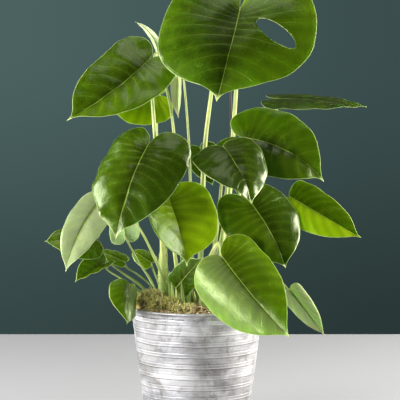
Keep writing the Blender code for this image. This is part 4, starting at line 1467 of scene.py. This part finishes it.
class PotSettings(bpy.types.PropertyGroup):
    """Sizes and finish of the zinc pot"""

    rib_rise: size_property("Band rise", "How far each band stands out of the wall", 0.00022)
    dents: size_property("Dents", "How deep the dents in the thin wall are", 0.00018)
    roughness: share_property("Roughness", "How dull the metal is", 0.42)
    metallic: share_property("Metal", "How much bare metal shows through the limewash", 0.9)
    zinc_light: colour_property("Light zinc", "Bright crystals of the zinc", (0.72, 0.72, 0.75))
    zinc_grey: colour_property("Zinc", "Main grey of the zinc", (0.50, 0.50, 0.53))
    # Also the colour of the shadow lines painted beside the bands and under the rim.
    zinc_dark: colour_property("Dark lines", "Scratches and lines below bands", (0.13, 0.12, 0.11))
    # Also the colour of the highlight lines painted on the bands.
    limewash_and_highlight: colour_property("Limewash", "Chalky white over the metal", (0.88, 0.87, 0.88))
    stain_brown: colour_property("Stain", "Brownish grey stains", (0.20, 0.18, 0.155))


class LeafSettings(bpy.types.PropertyGroup):
    """Sizes and colours of the blades"""

    thickness: size_property("Thickness", "Thickness of a blade at its midrib", 0.00055)
    groove: size_property("Midrib groove", "How deep the midrib lies in the upper face", 0.00035)
    midrib: size_property("Midrib ridge", "How far the midrib stands out below", 0.0011)
    puff: share_property("Puff", "How much the blade puckers between its veins", 0.6, 3.0)
    wave: share_property("Wave", "How much the margin waves", 0.65, 3.0)
    glow: share_property("Glow", "How much light comes through the blade", 0.35)
    gloss: share_property("Gloss", "How strongly the upper face reflects", 0.43)
    young_gloss: share_property("Young gloss", "How strongly the youngest blades reflect", 0.12)
    gloss_tint: colour_property("Gloss tint", "Colour of the reflections", (0.86, 1.0, 0.50))
    upper_roughness: share_property("Upper roughness", "How dull the upper face is", 0.23)
    lower_roughness: share_property("Lower roughness", "How dull the underside is", 0.52)
    dark_green: colour_property("Dark green", "Shade of the darkest blades", (0.022, 0.045, 0.0006))
    mid_green: colour_property("Mid green", "Shade of most blades", (0.075, 0.138, 0.0012))
    lime_green: colour_property("Lime green", "Shade of the youngest blades", (0.29, 0.44, 0.002))
    vein_green: colour_property("Vein green", "Pale green of midrib and veins", (0.26, 0.40, 0.04))
    # The blades' own pale margin, painted lighter as a rim of light.
    margin_and_rim_light: colour_property("Margin", "Thin pale line along the margin", (0.55, 0.62, 0.25))
    # Colour of the pale film on young blades, also laid on glossy blades as painted sheen.
    film_and_sheen_pale: colour_property("Bloom", "Pale film on some blades", (0.80, 0.84, 0.56))
    under_green: colour_property("Underside green", "Below the dark blades", (0.085, 0.15, 0.025))
    under_lime: colour_property("Underside lime", "Below the young blades", (0.30, 0.48, 0.08))


class StalkSettings(bpy.types.PropertyGroup):
    """Sizes and colours of the stalks, stems and cane"""

    sheath: share_property("Sheath", "How far the sheath stands out of a stalk's foot", 1.0, 2.0)
    knee: share_property("Knee", "How much a stalk swells below its blade", 1.0, 2.0)
    shoots: count_property("Young shoots", "Number of shoots at the foot", 46)
    roughness: share_property("Roughness", "How dull the stalks are", 0.42)
    pale_green: colour_property("Pale green", "Main green of the stalks", (0.74, 0.82, 0.24))
    deep_green: colour_property("Deep green", "Darker streaks", (0.10, 0.17, 0.02))
    ridge_cream: colour_property("Ridge cream", "Light ridges", (0.88, 0.90, 0.48))
    foot_green: colour_property("Foot", "Dull brownish green at the soil", (0.15, 0.17, 0.04))
    stem_green: colour_property("Stem green", "Green of the short thick stems", (0.42, 0.55, 0.09))
    cork_brown: colour_property("Cork", "Leaf scars and corky patches", (0.20, 0.13, 0.06))
    cane_dark: colour_property("Dark cane", "Darker grain of the cane", (0.018, 0.011, 0.008))
    cane_light: colour_property("Light cane", "Lighter grain of the cane", (0.055, 0.032, 0.020))


class SoilSettings(bpy.types.PropertyGroup):
    """Amounts and colours of soil, bark and moss"""

    roughness_height: size_property("Crumbs", "How uneven the soil's top is", 0.0016)
    chips: count_property("Bark chips", "Number of bark chips", 230)
    threads: count_property("Coir threads", "Number of coir threads", 420)
    sprigs: count_property("Moss sprigs", "Number of moss sprigs", 1500)
    peat_dark: colour_property("Dark peat", "Gaps in the soil", (0.020, 0.012, 0.007))
    peat_brown: colour_property("Peat", "Main brown of the soil", (0.12, 0.065, 0.028))
    bark_brown: colour_property("Bark", "Brown of the chips", (0.46, 0.28, 0.11))
    fibre_tan: colour_property("Coir", "Light tan threads", (0.86, 0.68, 0.34))
    moss_olive: colour_property("Moss shade", "Darker moss", (0.17, 0.19, 0.012))
    moss_lime: colour_property("Moss light", "Yellow-green moss tips", (1.0, 0.95, 0.22))


class StageSettings(bpy.types.PropertyGroup):
    """Table, backdrop and lights"""

    table: colour_property("Table", "Plain pale table top", (0.35, 0.35, 0.35))
    wall: colour_property("Wall", "Plain backdrop behind the table", (0.070, 0.122, 0.119))
    table_depth: size_property("Table depth", "How far the table reaches behind the pot", 0.79)
    key_power: power_property("Key light", "Power of the light on the right", 64.0)
    side_power: power_property("Side light", "Power of the light on the left", 36.0)
    window_power: power_property("Window light", "Power of the small light in front, left", 29.0)
    top_power: power_property("Top light", "Power of the light above", 5.0)


# Operators


class PLANT_OT_pot(bpy.types.Operator):
    """Build the ribbed zinc pot"""

    bl_idname = "plant.pot"
    bl_label = "Zinc Pot"

    def execute(self, context):
        pot = context.scene.plant_pot
        add_piece("pot_skin", pot_mesh(pot), [zinc_look(pot)], ["pot"])
        return {"FINISHED"}


class PLANT_OT_soil(bpy.types.Operator):
    """Build the soil with its bark chips and coir threads"""

    bl_idname = "plant.soil"
    bl_label = "Soil and Bark"

    def execute(self, context):
        soil = context.scene.plant_soil
        add_piece("soil_body", soil_mesh(soil), [soil_look(soil)], ["soil"])
        add_piece("bark_and_coir", bark_mesh(soil), [bark_look(soil)])
        return {"FINISHED"}


class PLANT_OT_moss(bpy.types.Operator):
    """Build the mound of moss beside the left stem"""

    bl_idname = "plant.moss"
    bl_label = "Moss"

    def execute(self, context):
        soil = context.scene.plant_soil
        add_piece("moss_mound", moss_mesh(soil), [moss_look(soil)])
        return {"FINISHED"}


class PLANT_OT_stems(bpy.types.Operator):
    """Build the short thick stems and the cane"""

    bl_idname = "plant.stems"
    bl_label = "Stems and Cane"

    def execute(self, context):
        stalk = context.scene.plant_stalk
        skin = stem_look(stalk)
        for number, stem in enumerate(STEMS):
            add_piece(stem.name + "_skin", stem_mesh(stem, number), [skin], [stem.name])
        add_piece("cane", cane_mesh(), [stake_look(stalk)], ["stake"])
        return {"FINISHED"}


class PLANT_OT_blades(bpy.types.Operator):
    """Build every blade with its veins, puckers and waves"""

    bl_idname = "plant.blades"
    bl_label = "Blades"

    def execute(self, context):
        leaf = context.scene.plant_leaf
        grown = upper_blade_look("blade upper face", leaf, leaf.gloss)
        young = upper_blade_look("young blade upper face", leaf, leaf.young_gloss)
        under = lower_blade_look("blade underside", leaf)
        for blade in BLADES:
            look = LOOKS[blade.name]
            upper = young if max(look.left, look.right) > YOUNG_LIGHTNESS else grown
            shape = BladeShape(blade)
            mesh = blade_mesh(shape, look, leaf)
            piece = add_piece(blade.name + "_skin", mesh, [upper, under], [blade.name])
            if blade.name == HOLED_BLADE:
                punch_hole(piece, shape)
        return {"FINISHED"}


class PLANT_OT_stalks(bpy.types.Operator):
    """Build every stalk with its groove, sheath and knee"""

    bl_idname = "plant.stalks"
    bl_label = "Stalks"

    def execute(self, context):
        settings = context.scene.plant_stalk
        skin = stalk_look(settings)
        for number, blade in enumerate(BLADES):
            node = blade.name.replace("leaf", "petiole")
            name = node + "_skin"
            mesh = stalk_mesh(name, STALKS[blade.name], BladeShape(blade), number, settings)
            add_piece(name, mesh, [skin], [node])
        add_piece("sheaths_and_shoots", shoots_mesh(settings), [skin])
        return {"FINISHED"}


def table_look(stage):
    look, w, shader = new_material("table top", 0.55)
    mottle = mottled(w, w.place(), 3.0)
    w.feed(shader["Base Color"], w.coats(stage.table, (mottle["Patches"], 0.06, MID_GREY)))
    return look


def add_light(stage, name, right_of_front, up, distance, size, tint):
    """A soft rectangular light that faces the middle of the plant"""
    middle = np.array(PLANT_MIDDLE)
    place = middle + looking(right_of_front, up) * distance
    lamp = bpy.data.lights.new(name, "AREA")
    lamp.shape = "RECTANGLE"
    lamp.size, lamp.size_y = size
    lamp.energy = getattr(stage, name + "_power")
    lamp.color = tint
    item = bpy.data.objects.new(name, lamp)
    item.location = place
    item.rotation_euler = Vector(middle - place).to_track_quat("-Z", "Y").to_euler()
    bpy.context.collection.objects.link(item)


def backdrop(stage):
    """A dark wall behind the table for the eye, with painted light that falls off toward its right
    and its foot, and soft neutral light for the plant
    """
    world = bpy.data.worlds.new("studio")
    bpy.context.scene.world = world
    world.use_nodes = True
    world.node_tree.nodes.clear()
    w = Wiring(world.node_tree)
    x, _, z = w.parts(w.node("ShaderNodeTexCoord").outputs["Generated"])
    glow = w.times(w.ease(x, -0.11, 0.11, 1.0, 0.62), w.ease(z, -0.16, 0.0, 0.5, 1.0))
    glow = w.node("ShaderNodeCombineColor", {0: glow, 1: glow, 2: glow}).outputs[0]
    wall = w.mix(1.0, stage.wall, glow, "MULTIPLY")
    seen = w.node("ShaderNodeBackground", {"Color": wall, "Strength": 1.0}).outputs[0]
    light = w.node("ShaderNodeBackground", {"Color": SKY_TINT, "Strength": SKY_STRENGTH}).outputs[0]
    ray = w.node("ShaderNodeLightPath").outputs["Is Camera Ray"]
    shown = w.node("ShaderNodeMixShader", {0: ray, 1: light, 2: seen}).outputs[0]
    w.node("ShaderNodeOutputWorld", {"Surface": shown})


def add_table(stage):
    """A plain table top under the pot, which ends some way behind it"""
    reach = 4.0
    far = stage.table_depth
    mesh = bpy.data.meshes.new("table_top")
    corners = [(-reach, -reach, 0), (reach, -reach, 0), (reach, far, 0), (-reach, far, 0)]
    mesh.from_pydata(corners, [], [(0, 1, 2, 3)])
    mesh.materials.append(table_look(stage))
    table = bpy.data.objects.new("table_top", mesh)
    bpy.context.collection.objects.link(table)


def add_camera():
    """A long lens at the photo's height and tilt"""
    camera = bpy.data.cameras.new("camera")
    camera.lens = CAMERA_LENS
    camera.sensor_width = CAMERA_SENSOR
    eye = bpy.data.objects.new("camera", camera)
    eye.location = CAMERA_PLACE
    eye.rotation_euler = (radians(90 - CAMERA_TILT), 0.0, 0.0)
    bpy.context.collection.objects.link(eye)
    bpy.context.scene.camera = eye


class PLANT_OT_stage(bpy.types.Operator):
    """Set the table, the soft lights and the camera"""

    bl_idname = "plant.stage"
    bl_label = "Stage"

    def execute(self, context):
        stage = context.scene.plant_stage
        add_table(stage)
        backdrop(stage)
        for light in LIGHTS:
            add_light(stage, *light)
        add_camera()
        context.scene.view_settings.view_transform = "Standard"
        return {"FINISHED"}


class PLANT_PT_parts(bpy.types.Panel):
    """Lists the plant's parts in the sidebar"""

    bl_label = "Potted Monstera"
    bl_idname = "PLANT_PT_parts"
    bl_space_type = "VIEW_3D"
    bl_region_type = "UI"
    bl_category = "Plant"

    def draw(self, context):
        for made in OPERATORS:
            self.layout.operator(made.bl_idname)


SETTINGS = (
    ("plant_pot", PotSettings),
    ("plant_leaf", LeafSettings),
    ("plant_stalk", StalkSettings),
    ("plant_soil", SoilSettings),
    ("plant_stage", StageSettings),
)
OPERATORS = (PLANT_OT_pot, PLANT_OT_soil, PLANT_OT_moss, PLANT_OT_stems, PLANT_OT_blades,
             PLANT_OT_stalks, PLANT_OT_stage)


def register():
    for name, group in SETTINGS:
        bpy.utils.register_class(group)
        setattr(bpy.types.Scene, name, PointerProperty(type=group))
    for made in OPERATORS:
        bpy.utils.register_class(made)
    bpy.utils.register_class(PLANT_PT_parts)


def unregister():
    bpy.utils.unregister_class(PLANT_PT_parts)
    for made in reversed(OPERATORS):
        bpy.utils.unregister_class(made)
    for name, group in reversed(SETTINGS):
        delattr(bpy.types.Scene, name)
        bpy.utils.unregister_class(group)


def main():
    register()
    bpy.ops.plant.pot()
    bpy.ops.plant.soil()
    bpy.ops.plant.moss()
    bpy.ops.plant.stems()
    bpy.ops.plant.blades()
    bpy.ops.plant.stalks()
    bpy.ops.plant.stage()


if __name__ == "__main__":
    main()
